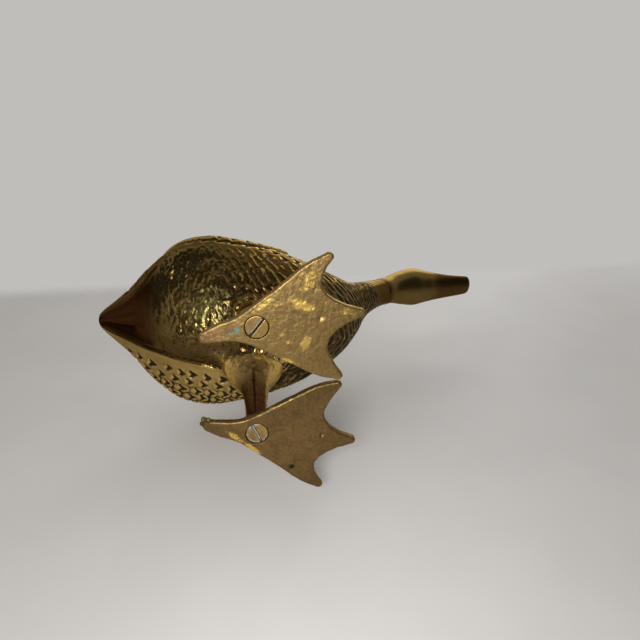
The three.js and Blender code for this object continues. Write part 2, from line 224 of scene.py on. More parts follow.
class DuckFinish(bpy.types.PropertyGroup):
    """Colours of the metal and of the stage."""

    brass: ColourProperty(
        name="Brass", description="Polished brass of the body and head", default=(0.50, 0.335, 0.105))
    # Dim brass is painted shade on the bird's body, strongest on the belly, breast, neck and right flank; on
    # the feet it darkens the left sole
    dim: ColourProperty(
        name="Dim brass", description="Darker brass where the body, neck and head are seldom rubbed",
        default=(0.12, 0.074, 0.022))
    bronze: ColourProperty(
        name="Bronze tone", description="Brown brass of the glossy belly and shanks",
        default=(0.21, 0.142, 0.045))
    # Olive sheen is a painted highlight, a greenish glow on the right of the belly
    olive: ColourProperty(
        name="Olive sheen", description="Greenish brass where the belly is rubbed",
        default=(0.31, 0.265, 0.095))
    # Ruddy brass also darkens the belly and the right flank's band as painted shade
    ruddy: ColourProperty(
        name="Ruddy brass", description="Red-brown tone under the tail, on the bill and on the shanks",
        default=(0.07, 0.021, 0.005))
    copper: ColourProperty(
        name="Copper", description="Pink tone of the right heel", default=(0.56, 0.30, 0.16))
    patina: ColourProperty(
        name="Patina", description="Dark tarnish in the feather marks", default=(0.026, 0.019, 0.012))
    worn: ColourProperty(
        name="Worn brass", description="Bright brass on rubbed edges", default=(0.82, 0.56, 0.14))
    sole: ColourProperty(
        name="Sole brass", description="Dull brass of the feet", default=(0.40, 0.27, 0.09))
    umber: ColourProperty(
        name="Umber", description="Brown mottling of the dull brass", default=(0.23, 0.135, 0.06))
    verdigris: ColourProperty(
        name="Verdigris", description="Green bloom on the old brass", default=(0.17, 0.28, 0.245))
    bare: ColourProperty(
        name="Bare metal", description="Grey metal in the screw slots", default=(0.44, 0.43, 0.41))
    stage: ColourProperty(
        name="Stage", description="Pale floor and backdrop", default=(0.80, 0.78, 0.755))


# Shape of the skin

def ramp(value, low, high):
    """Smooth step from 0 at low to 1 at high."""
    f = np.clip((value - low) / (high - low), 0, 1)
    return f * f * (3 - 2 * f)


def band(value, begin, end):
    """1 between a smooth rise and a smooth fall, each given by where it starts and stops."""
    return ramp(value, *begin) * (1 - ramp(value, *end))


def ridge(distance, width):
    """Round ridge that is 1 at its crest and fades over a width."""
    return np.exp(-(distance / width) ** 2)


def along(table, column, t):
    """Value of one column of a table of lines, with a smooth curve through its rows."""
    t = np.asarray(t, float)
    last = len(table) - 1
    row = np.clip(np.floor(t).astype(int), 0, last - 1)
    f = t - row
    a, b, c, d = (table[np.clip(row + k, 0, last), column] for k in (-1, 0, 1, 2))
    bend = a - 2.5 * b + 2 * c - 0.5 * d
    twist = (d - a) / 2 + 1.5 * (b - c)
    return b + f * ((c - a) / 2 + f * (bend + f * twist))


def section(aside, upright, power):
    """Radius of a rounded section, from a direction's parts over the section's half width and height. It is
    endless where both parts are 0."""
    with np.errstate(divide="ignore"):
        return (aside ** power + upright ** power) ** (-1 / power)


def skin_radius(t, angle, side=1):
    """Distance from the spine to the skin of the left side, 1, or the right side, -1. The angle is 0
    straight down and half a turn at the back. The belly hangs a little to the right and rounds into the
    flank there."""
    sine, drop = np.abs(np.sin(angle)), np.cos(angle)
    half, rise, depth, belly_half, belly_depth = (
        np.maximum(along(LINES, column, t), THINNEST)
        for column in (HALF_WIDTH, RISE, DROP, BELLY_HALF, BELLY_DROP))
    below = np.maximum(drop, 0)
    back = section(sine / half, np.maximum(-drop, 0) / rise, ROUNDNESS)
    power = ROUNDNESS + (SQUARENESS * band(t, *SQUARE_FLANK) if side > 0 else 0)
    flank = section(sine / half, below / depth, power)
    rim = 0.58 - 0.048 * t if side > 0 else 0.72
    under_tail = band(t, *TAIL_HOLLOW) * (1 - ramp(sine * flank / half, rim - 0.2, rim + 0.05))
    tail = flank - 0.65 * depth * under_tail
    hang = band(t, *HANGING_BELLY)
    turned = angle + side * BELLY_TURN * hang
    fuller = np.where((side < 0) & (turned > 0), hang * np.maximum(1.05 * half - belly_half, 0), 0)
    belly = 1 / np.hypot(np.sin(turned) / (belly_half + fuller), np.cos(turned) / belly_depth)
    soft = 0.9 * MM + (0 if side > 0 else 4 * MM * hang * ramp(angle, 0.1, 0.7))
    blend = soft * ramp(t, 2, 5)
    under = 0.5 * (tail + belly + np.hypot(tail - belly, blend * np.sqrt(below)))
    return np.where(drop > 0, under, back)


def skin_point(t, angle, lift=0.0, side=1):
    """Point on the skin of one side, or at a height above it, laid out on the left."""
    t, angle = np.broadcast_arrays(np.asarray(t, float), np.asarray(angle, float))
    step = 0.01
    slope = [along(LINES, column, t + step) - along(LINES, column, t - step) for column in (SPINE_X, SPINE_Z)]
    length = np.hypot(*slope)
    r = np.maximum(skin_radius(t, angle, side) + lift, 0.02 * MM)
    up = -r * np.cos(angle)
    return np.stack((
        along(LINES, SPINE_X, t) - slope[1] / length * up,
        r * np.sin(angle),
        along(LINES, SPINE_Z, t) + slope[0] / length * up,
    ), axis=-1)


def even_rows(start, end, spacing):
    """Rows that lie evenly along the spine, and their distance along it from the tail's tip."""
    fine = np.linspace(0, end, 4000)
    steps = np.hypot(np.diff(along(LINES, SPINE_X, fine)), np.diff(along(LINES, SPINE_Z, fine)))
    length = np.concatenate(((0,), np.cumsum(steps)))
    first = np.interp(start, fine, length)
    count = int((length[-1] - first) / spacing)
    places = np.linspace(first, length[-1], count + 1)
    return np.interp(places, length, fine), places


def half_skin(rows, across, side):
    """One side of the skin, laid out on the left: angles, distance round from the keel, points, outward
    normals."""
    t = rows[:, None]
    turn = np.linspace(0, math.pi, 700)
    deepest = np.maximum(along(LINES, DROP, t), along(LINES, BELLY_DROP, t))
    tall = np.where(np.cos(turn) > 0, deepest, along(LINES, RISE, t))
    fine = np.arctan2(along(LINES, HALF_WIDTH, t) * np.sin(turn), tall * np.cos(turn))
    steps = np.linalg.norm(np.diff(skin_point(t, fine, side=side), axis=1), axis=2)
    arc = np.concatenate((np.zeros((len(rows), 1)), np.cumsum(steps, axis=1)), axis=1)
    round_ = np.linspace(0, 1, across + 1) * arc[:, -1:]
    angle = np.stack([np.interp(r, a, f) for r, a, f in zip(round_, arc, fine)])
    angle[:, 0], angle[:, -1] = 0, math.pi
    points = skin_point(t, angle, side=side)
    points[:, (0, -1), 1] = 0
    beyond = skin_point(t, angle[:, (1, -2)], side=-side) * ACROSS
    wide = np.concatenate((beyond[:, :1], points, beyond[:, 1:]), axis=1)
    normal = np.cross(wide[:, 2:] - wide[:, :-2], np.gradient(points, axis=0))
    normal[:, (0, -1), 1] = 0
    normal /= np.linalg.norm(normal, axis=2, keepdims=True)
    return angle, round_, points, normal


def leg_axis(z):
    """Point of the left leg's axis at a height: upright at the ankle, leaning in to the hip."""
    bottom = LEG_LINES[0, 0]
    f = (np.maximum(z - bottom, 0) / (HIP_HEIGHT - bottom)) ** 1.4
    return np.stack((SCREW_X + HIP[0] * f, STANCE + (HIP[1] - STANCE) * f, z), axis=-1)


def leg_radius(z, side):
    """Radius of the left leg, 1, or of the right leg, -1, at a height."""
    t = np.linspace(0, len(LEG_LINES) - 1, 400)
    radius = np.interp(z, along(LEG_LINES, 0, t), along(LEG_LINES, 1, t))
    shank_height, shank = LEG_LINES[1]
    spread = np.where((side > 0) | (z < shank_height), 1, RIGHT_FLARE)
    return shank + spread * (radius - shank)


# Where the feathers lie

def wing_edges(t):
    """Lower and upper angle of the folded wing on a row, and whether the wing reaches it."""
    f = np.linspace(0, len(WING_LINES) - 1, 800)
    rows = along(WING_LINES, 0, f)
    lower = np.interp(t, rows, along(WING_LINES, 1, f))
    upper = np.interp(t, rows, along(WING_LINES, 2, f))
    return lower, upper, (t > rows[0]) & (t < rows[-1])


def plumage(form, rows, places, angle, round_, points, side):
    """Marks of one side of the skin. Each kind of feather has its place along and across its row, and how
    strong it is. The rest are the swell of the rim and wing, the finish, the sheen, the lumps and the ink."""
    t = np.broadcast_to(rows[:, None], angle.shape)
    place = np.broadcast_to(places[:, None], angle.shape)
    radius = skin_radius(t, angle, side)
    on_left = side > 0

    # Rim, with a bead along it and a crease on its inner side
    rim = MM * np.interp(rows, RIM_LINES[:, 0], RIM_LINES[:, 1])
    if not on_left:
        rim = (0.78 + 0.2 * ramp(rows, 4, 6)) * np.maximum(along(LINES, HALF_WIDTH, rows), 0)
    aside = np.maximum.accumulate(np.where(angle < 2, points[..., 1], 0), axis=1)
    rim_at = np.array([np.interp(y, a, r) for y, a, r in zip(rim, aside, round_)])[:, None]
    outside = round_ - rim_at
    rimmed = 1 - ramp(t, *RIM_FADE)
    inner = (1 - ramp(outside, -1.2 * MM, 0.0)) * rimmed + (1 - ramp(angle, 0.9, 1.5)) * (1 - rimmed)
    held = band(t, *BEADED_RIM[side])
    swell = 0.3 * MM * held * ridge(outside - 0.4 * MM, 1.1 * MM)
    swell -= 0.55 * MM * held * ridge(outside + 1.4 * MM, 0.8 * MM)

    # Wing of flight feathers in two tiers, with small covering feathers in front of them
    lower, upper, there = wing_edges(t)
    inside = np.where(there, np.minimum(angle - lower, upper - angle) * radius, -1)
    wing = ramp(inside, 0, 1.1 * MM)
    wing_place = np.clip((angle - lower) / np.maximum(upper - lower, 0.05), 0, 1)
    scallop = 0.3 * np.abs(np.sin(math.pi * FLIGHT_QUILLS * wing_place))
    covers = ramp(t + scallop, *COVERS_START)
    tier = ramp(t + scallop, *TIER_START)
    swell += wing * (form.wing_rise + TIER_STEP * (covers + tier - 2))
    swell -= 0.35 * MM * ridge(inside + 0.5 * MM, 0.6 * MM)

    # Long feathers of the wing and of the tail's upper side
    tail_top = ramp(angle, 1.7, 1.85) * band(t, *TAIL_FEATHERS)
    tail_place = (angle - math.pi / 2) / (math.pi / 2)
    quill_across = np.where(wing > 0, FLIGHT_QUILLS * wing_place, TAIL_QUILLS * tail_place)
    quill_zone = wing * (1 - covers) + (1 - wing) * tail_top
    quill = np.stack((place / (6 * MM), quill_across, quill_zone), axis=-1)

    # Scale feathers of the flank, the back and the wing's front, beside a plain border on the rim
    border = 4.2 * MM if on_left else 2 * MM
    beside = ramp(outside, border, border + 1.2 * MM) * rimmed + (1 - inner) * (1 - rimmed)
    plain = beside * band(t, *SCALE_FEATHERS) * (1 - tail_top)
    scale_across = np.where(wing > 0, (angle - lower) * radius, outside - border) / form.scale_width
    scale_zone = np.where(wing > 0, wing * covers, plain * (1 - wing))
    scale = np.stack((place / form.scale_length, scale_across, scale_zone), axis=-1)

    # Strokes run back and outward, finer towards the head. On the neck they part left of the keel.
    finer = ramp(rows, 8.5, 12.5)
    width = (3.4 - 0.3 * finer) * MM
    length = (10 - 3.5 * finer) * MM
    steps = np.gradient(places)
    parting = 9 * MM * ramp(t, 9.5, 12)
    away = np.abs(round_ - parting) if on_left else round_ + parting
    back, out = math.sin(STROKE_LEAN), math.cos(STROKE_LEAN)
    stroke_across = back * np.cumsum(steps / width)[:, None] + out * away / width[:, None]
    stroke_along = out * np.cumsum(steps / length)[:, None] - back * away / length[:, None]
    belly = inner * band(t, *ROUGH_BELLY)
    coarse = belly * (0.3 + 0.6 * ramp(t, 6.8, 8.6))
    stroke_zone = np.maximum(band(t, *NECK_STROKES), coarse)
    stroke = np.stack((stroke_along, stroke_across, stroke_zone), axis=-1)

    # Finish: darker brass as painted shade, most on the belly, breast, neck and right flank; glossy brown on
    # the belly and neck; ruddy under the tail, on the collar and on the bill, and half ruddy on the belly and
    # the right flank's band as more painted shade
    # Band of the flank outside the rim: on the left it is kept bright, a painted reflection of the table
    # beside it, and on the right it is darkened with ruddy brass, a painted shade
    flank_light_and_shade = ramp(outside, -0.4 * MM, 0.6 * MM) * (1 - ramp(angle, 1.3, 1.75)) * (1 - ramp(t, 9.2, 10.6))
    wing_low = 1.5 if on_left else 1.75
    head = ramp(t, HEAD_START, HEAD_START + 0.5)
    # The back, the wings and the head get only half of the painted shade
    rubbed = np.maximum(ramp(angle, wing_low, wing_low + 0.4), 0.5 * head)
    dim = (1 - (flank_light_and_shade if on_left else 0.15 * flank_light_and_shade)) * (1 - 0.5 * rubbed)
    glossy = belly * (1 - ramp(t, 8.8, 9.8) if on_left else 1 - 0.8 * ramp(t, 6.8, 8.4))
    glossy = np.maximum(glossy, 0.55 * band(t, (9.5, 10.5), (HEAD_START - 1, HEAD_START)))
    hollow = inner * (1 - ramp(t, 4.6, 5.6))
    ruddy = np.maximum(np.maximum(hollow, 0.65 * ramp(t, *BILL_START)), 0.5 * band(t, *COLLAR))
    # Half ruddy over the belly, less where it is glossy on the right, is painted shade
    ruddy = np.maximum(ruddy, 0.5 * (belly if on_left else np.maximum(belly - glossy, 0)))
    if not on_left:
        ruddy = np.maximum(ruddy, 0.6 * flank_light_and_shade * (1 - inner))
    # Round the ridged places the glossy, ruddy and dim tones fall away, brighter brass as a painted
    # highlight, and the lumps grow rougher; the olive sheen laid as a spot is a painted highlight too
    ridged_highlight, behind_thigh, sheen = (
        ridge(np.linalg.norm(points * (1, side, 1) - centre - (SCREW_X, 0, 0), axis=2), reach)
        for centre, reach in (GOLD_RIDGED_HIGHLIGHT, THIGH_RIDGED_HIGHLIGHT, OLIVE_SHEEN))
    ridged_highlight = np.maximum(ridged_highlight, behind_thigh)
    worn = 1 - 0.9 * ridged_highlight
    rougher = 1 + np.maximum(0.9 * ridged_highlight, 0.7 * ramp(round_, 0, 5 * MM) * on_left)
    return {
        "scale": scale,
        "stroke": stroke,
        "quill": quill,
        "swell": swell,
        "finish": np.stack((glossy * worn, ruddy * worn, dim * (1 - 0.7 * ridged_highlight)), axis=-1),
        "spot": 0.64 * sheen,
        "lumps": (0.04 + 0.96 * belly) * rougher,
        "ink": 1 - (0.2 if on_left else 0.8) * belly,
    }


def head_swell(form, rows, angle, points):
    """Height of what is modelled on the smooth head: the rim at the neck, cheeks, eyes, mouth, nostrils and
    nail."""
    t = np.broadcast_to(rows[:, None], angle.shape)
    swell = 0.35 * MM * ramp(t, HEAD_START - 0.12, HEAD_START + 0.05)
    swell -= 0.3 * MM * ramp(t, HEAD_START + 0.1, HEAD_START + 0.9)
    swell += 1.1 * MM * band(t, *CHEEK) * np.sin(angle) ** 2
    reach = np.linalg.norm(points - skin_point(*EYE), axis=2)
    dome = np.sqrt(np.maximum(form.eye_radius ** 2 - reach ** 2, 0)) - EYE_SINK
    swell += np.maximum(dome, 0)
    swell -= 0.35 * MM * ridge(reach - form.eye_radius - 0.3 * MM, 0.45 * MM)
    swell += 0.35 * MM * ridge(reach - form.eye_radius - 1.3 * MM, 0.5 * MM)
    mouth = (angle - 1.5 - 0.12 * np.sin((t - 20.5) * 1.1)) * skin_radius(t, angle)
    swell -= 0.55 * MM * band(t, *MOUTH) * ridge(mouth, 0.4 * MM)
    gap = (points - skin_point(*NOSTRIL)) / np.array((1.5, 0.7, 0.7)) / MM
    swell -= 0.6 * MM * np.exp(-np.sum(gap ** 2, axis=2))
    gap = np.linalg.norm((points - skin_point(*NAIL)) / np.array((1.9, 2.0, 1.5)) / MM, axis=2)
    swell += 0.3 * MM * (1 - ramp(gap, 0.7, 1.1))
    return swell


def leg_gap(points, side):
    """Distance of points of the skin from the surface of the leg on their side."""
    z = points[..., 2]
    return np.linalg.norm(points - leg_axis(z), axis=-1) - leg_radius(z, side)


def leg_fillet(points, side):
    """Bead of metal that the braze leaves on the belly round the top of a leg."""
    low = 1 - ramp(points[..., 2], 50 * MM, 56 * MM)
    return 1.4 * MM * ridge(np.maximum(leg_gap(points, side), 0), 2.2 * MM) * low


# Meshes

def grid_faces(first, rows, columns, closed=False):
    """Quads of a grid of points numbered row by row, facing out where columns run round a left skin."""
    r, c = np.meshgrid(np.arange(rows - 1), np.arange(columns if closed else columns - 1), indexing="ij")
    here = first + r * columns + c
    beside = first + r * columns + (c + 1) % columns
    return np.stack((here, beside, beside + columns, here + columns), axis=-1).reshape(-1, 4).tolist()


def ring_faces(first, second, count):
    """Quads from one ring of points to another, each numbered from its own first point."""
    return [[first + j, first + k, second + k, second + j]
            for j, k in ((j, (j + 1) % count) for j in range(count))]


def store(mesh, key, values):
    """Keeps one number or vector for each point as an attribute of the mesh."""
    values = np.asarray(values, np.float32)
    kind, part = ("FLOAT", "value") if values.ndim == 1 else ("FLOAT_VECTOR", "vector")
    found = mesh.attributes.get(key) or mesh.attributes.new(key, kind, "POINT")
    found.data.foreach_set(part, values.ravel())


def mesh_of(points, faces, marks, side=1):
    """Smooth mesh of a piece laid out on the left, mirrored for the right side, with an attribute for each of
    its skin's marks. The points that follow the skin's have no marks."""
    if side < 0:
        points = points * ACROSS
        marks["lift"] = marks["lift"] * ACROSS
        faces = [face[::-1] for face in faces]
    mesh = bpy.data.meshes.new("skin")
    mesh.from_pydata(points.tolist(), [], faces)
    for key, values in marks.items():
        marked = values.reshape(-1, *values.shape[2:])
        unmarked = np.zeros((len(points) - len(marked), *marked.shape[1:]))
        store(mesh, key, np.concatenate((marked, unmarked)))
    mesh.validate()
    mesh.shade_smooth()
    return mesh


def body_half(form, side):
    """Half of the hollow body: skin, inner wall, seam and neck rim, closed."""
    across = 222
    # Points of the skin to one of the inner wall
    pitch = 6
    rows, places = even_rows(0.03, NECK_JOINT, form.grid)
    angle, round_, points, normal = half_skin(rows, across, side)
    marks = plumage(form, rows, places, angle, round_, points, side)
    marks["swell"] = marks["swell"] + leg_fillet(points, side)
    if side > 0:
        front = ramp(points[..., 0] - SCREW_X, -6 * MM, 0)
        clear = 1 - front * (1 - ramp(leg_gap(points, side), 2.2 * MM, 4.2 * MM))
        marks["finish"] = marks["finish"] * clear[..., None]
    marks["lift"] = normal
    last = len(rows) - 1
    hollow = np.arange(last, np.searchsorted(rows, CAVITY_START), -pitch)[::-1]
    picks = np.arange(0, across + 1, pitch)
    inner = skin_point(rows[hollow][:, None], angle[hollow][:, picks], -WALL, side)
    inner[:, (0, -1), 1] = 0
    tip = skin_point(0.0, 0.0)[None]

    width = across + 1
    inner_first = points.shape[0] * width
    tip_at = inner_first + inner.shape[0] * len(picks)
    outer = lambda i, j: i * width + j
    wall = lambda i, j: inner_first + i * len(picks) + j
    faces = grid_faces(0, len(rows), width)
    faces += [face[::-1] for face in grid_faces(inner_first, len(hollow), len(picks))]
    faces += [[j + 1, j, tip_at] for j in range(across)]
    faces.append([wall(0, j) for j in range(len(picks))])
    faces.append([tip_at, outer(0, 0), outer(0, across)])
    start = hollow[0]
    top = len(picks) - 1
    for i in range(start - 1):
        faces.append([outer(i, 0), outer(i + 1, 0), outer(i + 1, across), outer(i, across)])
    faces.append([outer(start - 1, 0), outer(start, 0), wall(0, 0), wall(0, top),
                  outer(start, across), outer(start - 1, across)])
    for k in range(len(hollow) - 1):
        run = range(hollow[k], hollow[k + 1] + 1)
        faces.append([outer(i, 0) for i in run] + [wall(k + 1, 0), wall(k, 0)])
        faces.append([outer(i, across) for i in run][::-1] + [wall(k, top), wall(k + 1, top)])
    rim = len(hollow) - 1
    for k in range(top):
        run = range(picks[k], picks[k + 1] + 1)
        faces.append([outer(last, j) for j in run] + [wall(rim, k + 1), wall(rim, k)])
    everything = np.concatenate((points.reshape(-1, 3), inner.reshape(-1, 3), tip))
    return mesh_of(everything, faces, marks, side)


def neck_head(form):
    """Neck and head in one piece, with the plug that closes the body."""
    across = 96
    ring = 2 * across
    rows, places = even_rows(NECK_JOINT, BILL_TIP - 0.02, 0.8 * form.grid)
    angle, round_, points, normal = half_skin(rows, across, 1)
    left, right = (plumage(form, rows, places, angle, round_, points, side) for side in SIDES.values())
    for marks in (left, right):
        marks["swell"] = marks["swell"] + head_swell(form, rows, angle, points)
    mirrored = lambda half: np.concatenate((half, half[:, -2:0:-1] * ACROSS), axis=1)
    skin = mirrored(points)
    marks = {key: np.concatenate((left[key], right[key][:, -2:0:-1]), axis=1) for key in left}
    marks["lift"] = mirrored(normal)
    plug_rows = NECK_JOINT - 0.45, NECK_JOINT
    plug = np.stack([mirrored(skin_point(row, angle[:1], -WALL - BRAZE_GAP))[0] for row in plug_rows])
    tip = skin_point(float(BILL_TIP), 0.0)[None]
    skin_count = len(rows) * ring
    tip_at = skin_count + 2 * ring
    faces = grid_faces(0, len(rows), ring, closed=True)
    faces += grid_faces(skin_count, 2, ring, closed=True)
    faces += ring_faces(skin_count + ring, 0, ring)
    end = skin_count - ring
    faces += [[end + j, end + (j + 1) % ring, tip_at] for j in range(ring)]
    faces.append(list(range(skin_count, skin_count + ring))[::-1])
    return mesh_of(np.concatenate((skin.reshape(-1, 3), plug.reshape(-1, 3), tip)), faces, marks)


def leg(form, side):
    """Leg from the ankle to inside the body, with the bore for the foot screw."""
    around = 132
    bottom, top = LEG_LINES[0, 0], LEG_LINES[-1, 0]
    z = np.linspace(bottom, top, int((top - bottom) / form.grid))
    turn = np.linspace(0, 2 * math.pi, around, endpoint=False)
    out = np.stack((np.cos(turn), np.sin(turn), np.zeros(around)), axis=-1)
    # The shank was filed: a flat behind and a ridge in front
    filed = 1 + 0.035 * np.cos(3 * turn) * (1 - ramp(z, 26 * MM, 36 * MM))[:, None]
    skin = leg_axis(z)[:, None] + (leg_radius(z, side)[:, None] * filed)[..., None] * out
    normal = np.cross(np.roll(skin, -1, axis=1) - np.roll(skin, 1, axis=1), np.gradient(skin, axis=0))
    normal /= np.linalg.norm(normal, axis=2, keepdims=True)
    ankle = leg_axis(np.array(bottom)) * (1, 1, 0)
    hole = np.stack([ankle + (0, 0, height) + BORE * out for height in (BORE_TOP, bottom)])
    # The shank is glossy dark ruddy brown, partly its own tone and partly painted shade, and its front is
    # kept bright brass as a painted highlight
    polished = (1 - ramp(z, 23 * MM, 41 * MM))[:, None] * (1 - 0.8 * ramp(np.cos(turn), 0.75, 0.95))
    marks = {
        "lift": normal,
        "swell": np.zeros(skin.shape[:2]),
        "ink": np.ones(skin.shape[:2]),
        "finish": np.stack((polished, 0.95 * polished, 0 * polished), axis=-1),
        "lumps": 0.6 - 0.55 * polished,
    }
    count = len(z) * around
    faces = grid_faces(0, len(z), around, closed=True)
    faces += grid_faces(count, 2, around, closed=True)
    faces += ring_faces(count + around, 0, around)
    faces.append(list(range(count, count + around))[::-1])
    faces.append(list(range(count - around, count)))
    return mesh_of(np.concatenate((skin.reshape(-1, 3), hole.reshape(-1, 3))), faces, marks, side)


# Node trees

def formula(operation):
    """Method of a field that adds one math node to its tree."""
    return lambda self, *others: Field.math(operation, self, *others)


class Field:
    """A socket used in formulas. Each operation on it adds one node to its tree."""

    def __init__(self, socket):
        self.socket = socket
        self.tree = socket.id_data

    @staticmethod
    def math(operation, *values):
        tree = next(value.tree for value in values if isinstance(value, Field))
        return field(tree, "ShaderNodeMath", dict(enumerate(values)), operation=operation)

    __add__ = __radd__ = formula("ADD")
    __sub__ = formula("SUBTRACT")
    __mul__ = __rmul__ = formula("MULTIPLY")
    __truediv__ = formula("DIVIDE")
    __abs__ = formula("ABSOLUTE")
    floor = formula("FLOOR")
    larger = formula("MAXIMUM")
    smaller = formula("MINIMUM")

    def __rsub__(self, other):
        return Field.math("SUBTRACT", other, self)

    def __rtruediv__(self, other):
        return Field.math("DIVIDE", other, self)

    def ramp(self, low, high):
        """Smooth step from 0 at low to 1 at high."""
        return field(self.tree, "ShaderNodeMapRange", {"Value": self, "From Min": low, "From Max": high},
                     "Result", interpolation_type="SMOOTHSTEP")

    def parts(self):
        """The three parts of a vector."""
        made = node(self.tree, "ShaderNodeSeparateXYZ", {"Vector": self})
        return [Field(made.outputs[axis]) for axis in "XYZ"]


def feed(value, socket):
    """Links a field to a socket, or sets the socket to a plain value."""
    if isinstance(value, Field):
        value.tree.links.new(value.socket, socket)
    else:
        socket.default_value = value


def node(tree, kind, inputs=None, **settings):
    """New node with its settings and the named inputs."""
    made = tree.nodes.new(kind)
    for key, value in settings.items():
        setattr(made, key, value)
    for key, value in (inputs or {}).items():
        feed(value, made.inputs[key])
    return made


def field(tree, kind, inputs=None, output=0, **settings):
    """New node, as the field of one of its outputs."""
    return Field(node(tree, kind, inputs, **settings).outputs[output])


def noise(place, size, detail=3.0, distortion=0.0, output=0):
    """Noise at a place, whose lumps are about size apart."""
    return field(place.tree, "ShaderNodeTexNoise", {
        "Vector": place, "Scale": 1 / size, "Detail": detail, "Distortion": distortion}, output)


# Numbers of the mix node's sockets for colours
MIX_FACTOR, MIX_FIRST, MIX_SECOND, MIX_RESULT = 0, 6, 7, 2


def blended(factor, first, second):
    """Colour between two colours, which are fields or plain."""
    first, second = (value if isinstance(value, Field) else (*value, 1) for value in (first, second))
    inputs = {MIX_FACTOR: factor, MIX_FIRST: first, MIX_SECOND: second}
    return field(factor.tree, "ShaderNodeMix", inputs, MIX_RESULT, data_type="RGBA")


def toned(colour, factor):
    """Plain colour made lighter or darker by a factor."""
    return [factor * part for part in colour]


SOCKET_KINDS = {float: "Float", int: "Int", tuple: "Vector"}


def group_tree(name, kind, inputs, outputs):
    """Empty node group: the tree, its inputs as fields, its output node. Each input is given by its default
    value or, where it has none, by its kind, and each output by its kind."""
    tree = bpy.data.node_groups.new(name, kind)
    for label, given in inputs.items():
        socket_kind = SOCKET_KINDS.get(type(given), given)
        socket = tree.interface.new_socket(label, in_out="INPUT", socket_type=f"NodeSocket{socket_kind}")
        if socket_kind != given:
            socket.default_value = given
    for label, socket_kind in outputs.items():
        tree.interface.new_socket(label, in_out="OUTPUT", socket_type=f"NodeSocket{socket_kind}")
    start = tree.nodes.new("NodeGroupInput")
    end = tree.nodes.new("NodeGroupOutput")
    return tree, {socket.name: Field(socket) for socket in start.outputs if socket.name}, end


def dress(geometry, finish, end):
    """Ends a geometry tree: makes its instances real and sets their material."""
    real = field(geometry.tree, "GeometryNodeRealizeInstances", {"Geometry": geometry})
    dressed = field(geometry.tree, "GeometryNodeSetMaterial", {"Geometry": real, "Material": finish})
    feed(dressed, end.inputs[0])


def chance(column, row, salt):
    """Random value from 0 to 1 for each feather."""
    place = field(column.tree, "ShaderNodeCombineXYZ", {"X": column, "Y": row, "Z": salt})
    return field(column.tree, "ShaderNodeTexWhiteNoise", {"Vector": place}, "Value", noise_dimensions="3D")


def scale_marks(cell, seed):
    """Rows of scale feathers, each with a vee-shaped mark that points to the head and, from the second row
    on, a dark outline: height and groove."""
    ahead, across, zone = cell
    row = across.floor()
    shifted = ahead + row * 0.5
    column = shifted.floor()
    luck, sway = (chance(column, row, seed + salt) for salt in (0.3, 0.6))
    fore = shifted - column - 0.5 + (luck - 0.5) * 0.2
    beside = abs(across - row - 0.5 + (sway - 0.5) * 0.16)
    vee = fore + beside - 0.36
    behind = (0.52 - beside * 0.8).larger(0.1)
    groove = (1 - vee.ramp(-0.04, 0.05)) * (1 - (0 - vee).ramp(behind * 0.5, behind))
    groove = groove * (1 - beside.ramp(0.38, 0.5))
    outline = (fore * fore + beside * beside).ramp(0.17, 0.28) * row.ramp(0.5, 2.5) * 0.6
    groove = groove.larger(outline)
    pad = (1 - beside.ramp(0.1, 0.5)) * (1 - abs(fore + 0.15).ramp(0.1, 0.5))
    groove = groove * (0.65 + luck * 0.5) * zone
    return pad * zone * 0.2 - groove, groove


def stroke_marks(cell, seed):
    """Long narrow strokes, uneven along their rows: height and groove."""
    ahead, across, zone = cell
    row = across.floor()
    shifted = ahead + chance(row, row, seed + 1.3)
    column = shifted.floor()
    luck, sway = (chance(column, row, seed + salt) for salt in (1.6, 1.9))
    fore = (shifted - column - 0.5) / 0.5
    beside = (across - row - 0.5 + (sway - 0.5) * 0.2) / 0.41
    groove = (1 - (fore * fore + beside * beside).ramp(0.45, 1.15)) * (0.6 + luck * 0.6) * zone
    return zone * 0.15 - groove, groove


def quill_marks(cell, _seed):
    """Long feathers that lie side by side, crowned, with a line between them: height and groove."""
    _, across, zone = cell
    beside = abs(across - across.floor() - 0.5)
    groove = beside.ramp(0.36, 0.5) * zone
    shaft = (1 - beside.ramp(0.02, 0.07)) * zone
    return (1 - beside.ramp(0.0, 0.5)) * zone * 0.3 + shaft * 0.25 - groove, groove


# Each kind of feather: its mark, the input for its depth, its pattern, how far its rows wander
FEATHERS = (
    ("scale", "Scale Depth", scale_marks, 0.5),
    ("stroke", "Stroke Depth", stroke_marks, 0.6),
    ("quill", "Quill Depth", quill_marks, 0.0),
)


